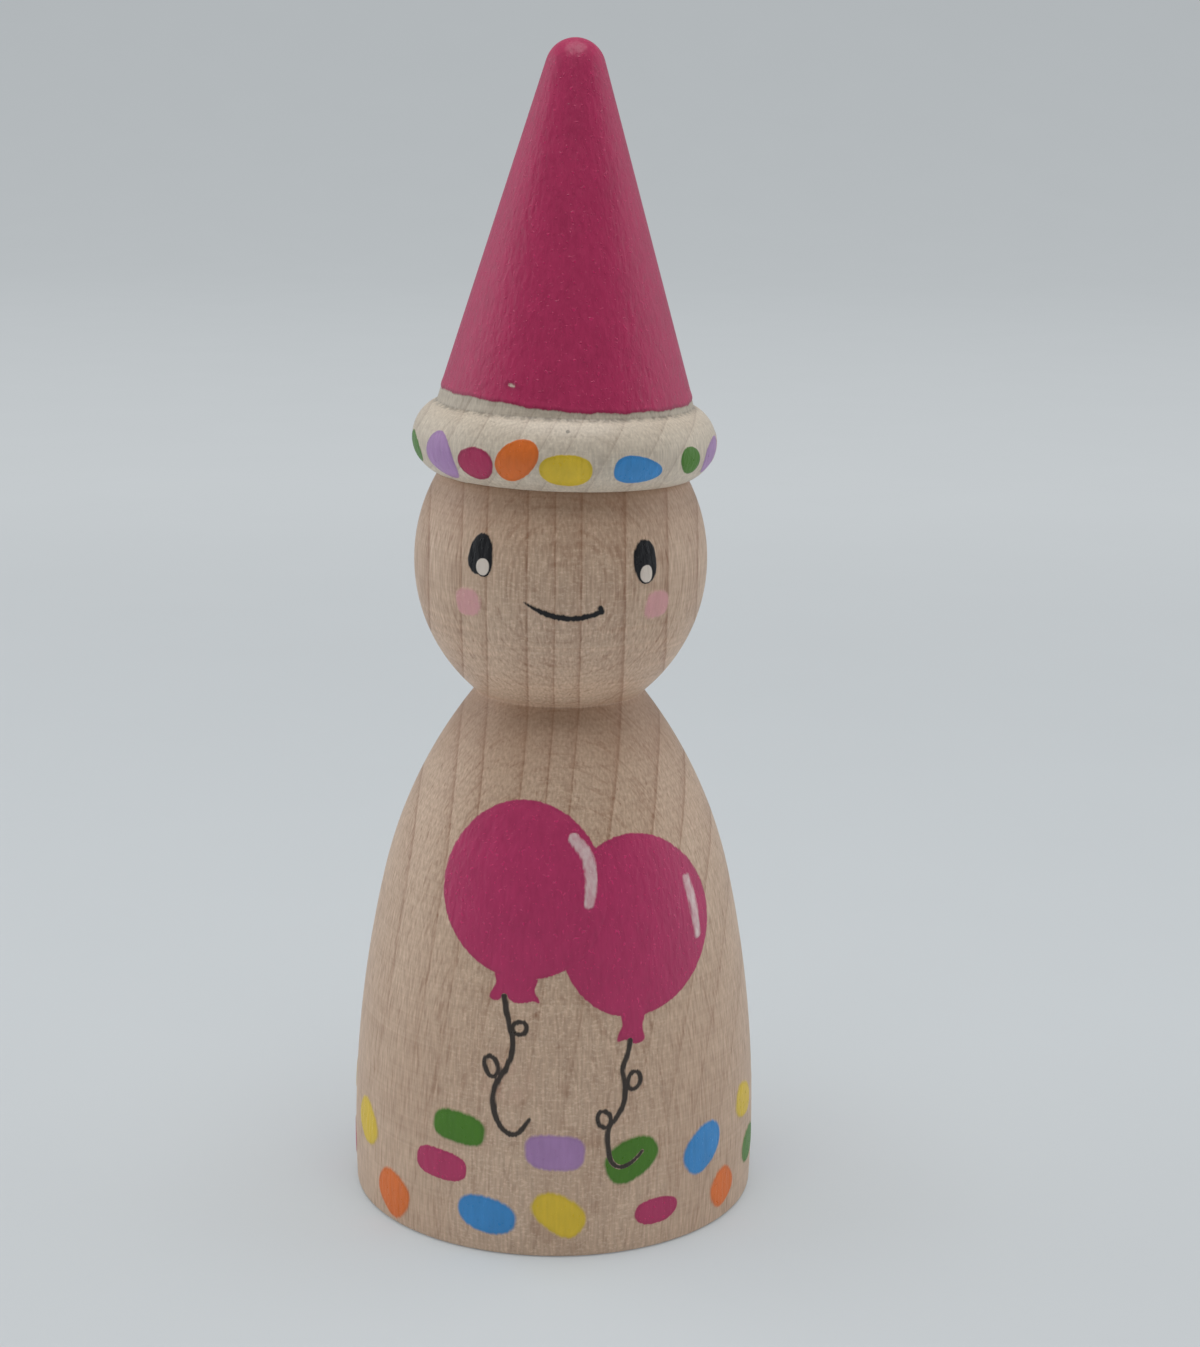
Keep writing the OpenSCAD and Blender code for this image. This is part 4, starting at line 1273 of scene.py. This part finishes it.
class PEGDOLL_OT_confetti(bpy.types.Operator):
    """Add the rows of painted dabs around the foot"""
    bl_idname = "peg_doll.add_confetti"
    bl_label = "Confetti"

    def execute(self, context):
        paint = doll().paint
        radius = PegShape().body_radius
        dabs = list(FRONT_DAB_SHARES)
        for first, gap, count, rise, tint in BACK_ROW_SHARES:
            for i in range(count):
                wave = [math.sin(math.radians(k)) for k in (130 * i, 200 * i, 110 * i + 25)]
                dabs.append(((tint + i) % len(COLOURS), first + gap * i, rise + 0.09 * wave[0],
                             0.95 + 0.06 * wave[1], 1 + 0.06 * math.cos(math.radians(170 * i)),
                             34 * wave[2], 0.0, 0.5))
        for index, tint in enumerate(COLOURS):
            films = dab_films(
                dabs, index, radius, 0.0, paint.confetti_h, paint.dab_l, paint.dab_w, cell=0.15 * MM)
            tone = "rose" if tint == "pink" else tint
            material = paint_material(tone, "beech", creep=0.32, softness=0.20)
            add_paint("confetti_" + tint, films, material, tint + "_paint", "peg")
        return {"FINISHED"}


OPERATORS = (
    PEGDOLL_OT_stage, PEGDOLL_OT_peg, PEGDOLL_OT_hat, PEGDOLL_OT_cone_coat, PEGDOLL_OT_brim_dots,
    PEGDOLL_OT_eyes, PEGDOLL_OT_cheeks, PEGDOLL_OT_smile, PEGDOLL_OT_balloons, PEGDOLL_OT_strings,
    PEGDOLL_OT_confetti,
)


class PEGDOLL_PT_panel(bpy.types.Panel):
    """The doll's pieces and settings"""
    bl_idname = "PEGDOLL_PT_panel"
    bl_label = "Peg Doll"
    bl_space_type = "VIEW_3D"
    bl_region_type = "UI"
    bl_category = "Peg Doll"

    def draw(self, context):
        for operator in OPERATORS:
            self.layout.operator(operator.bl_idname)
        for part in PegDoll.__annotations__:
            settings = getattr(context.scene.peg_doll, part)
            box = self.layout.box()
            box.label(text=part.capitalize())
            for name in type(settings).__annotations__:
                box.prop(settings, name)


CLASSES = (PegSizes, HatSizes, PaintSizes, FaceSizes, BalloonSizes, Colours, StageSizes, PegDoll,
           *OPERATORS, PEGDOLL_PT_panel)


def register():
    """Adds the classes and the settings."""
    for item in CLASSES:
        bpy.utils.register_class(item)
    bpy.types.Scene.peg_doll = bpy.props.PointerProperty(type=PegDoll)


def unregister():
    """Takes the settings and the classes away again."""
    del bpy.types.Scene.peg_doll
    for item in reversed(CLASSES):
        bpy.utils.unregister_class(item)


def main():
    """Builds the doll."""
    register()
    bpy.ops.peg_doll.add_stage()
    bpy.ops.peg_doll.add_peg()
    bpy.ops.peg_doll.add_hat()
    bpy.ops.peg_doll.add_cone_coat()
    bpy.ops.peg_doll.add_brim_dots()
    bpy.ops.peg_doll.add_eyes()
    bpy.ops.peg_doll.add_cheeks()
    bpy.ops.peg_doll.add_smile()
    bpy.ops.peg_doll.add_balloons()
    bpy.ops.peg_doll.add_strings()
    bpy.ops.peg_doll.add_confetti()


if __name__ == "__main__":
    main()
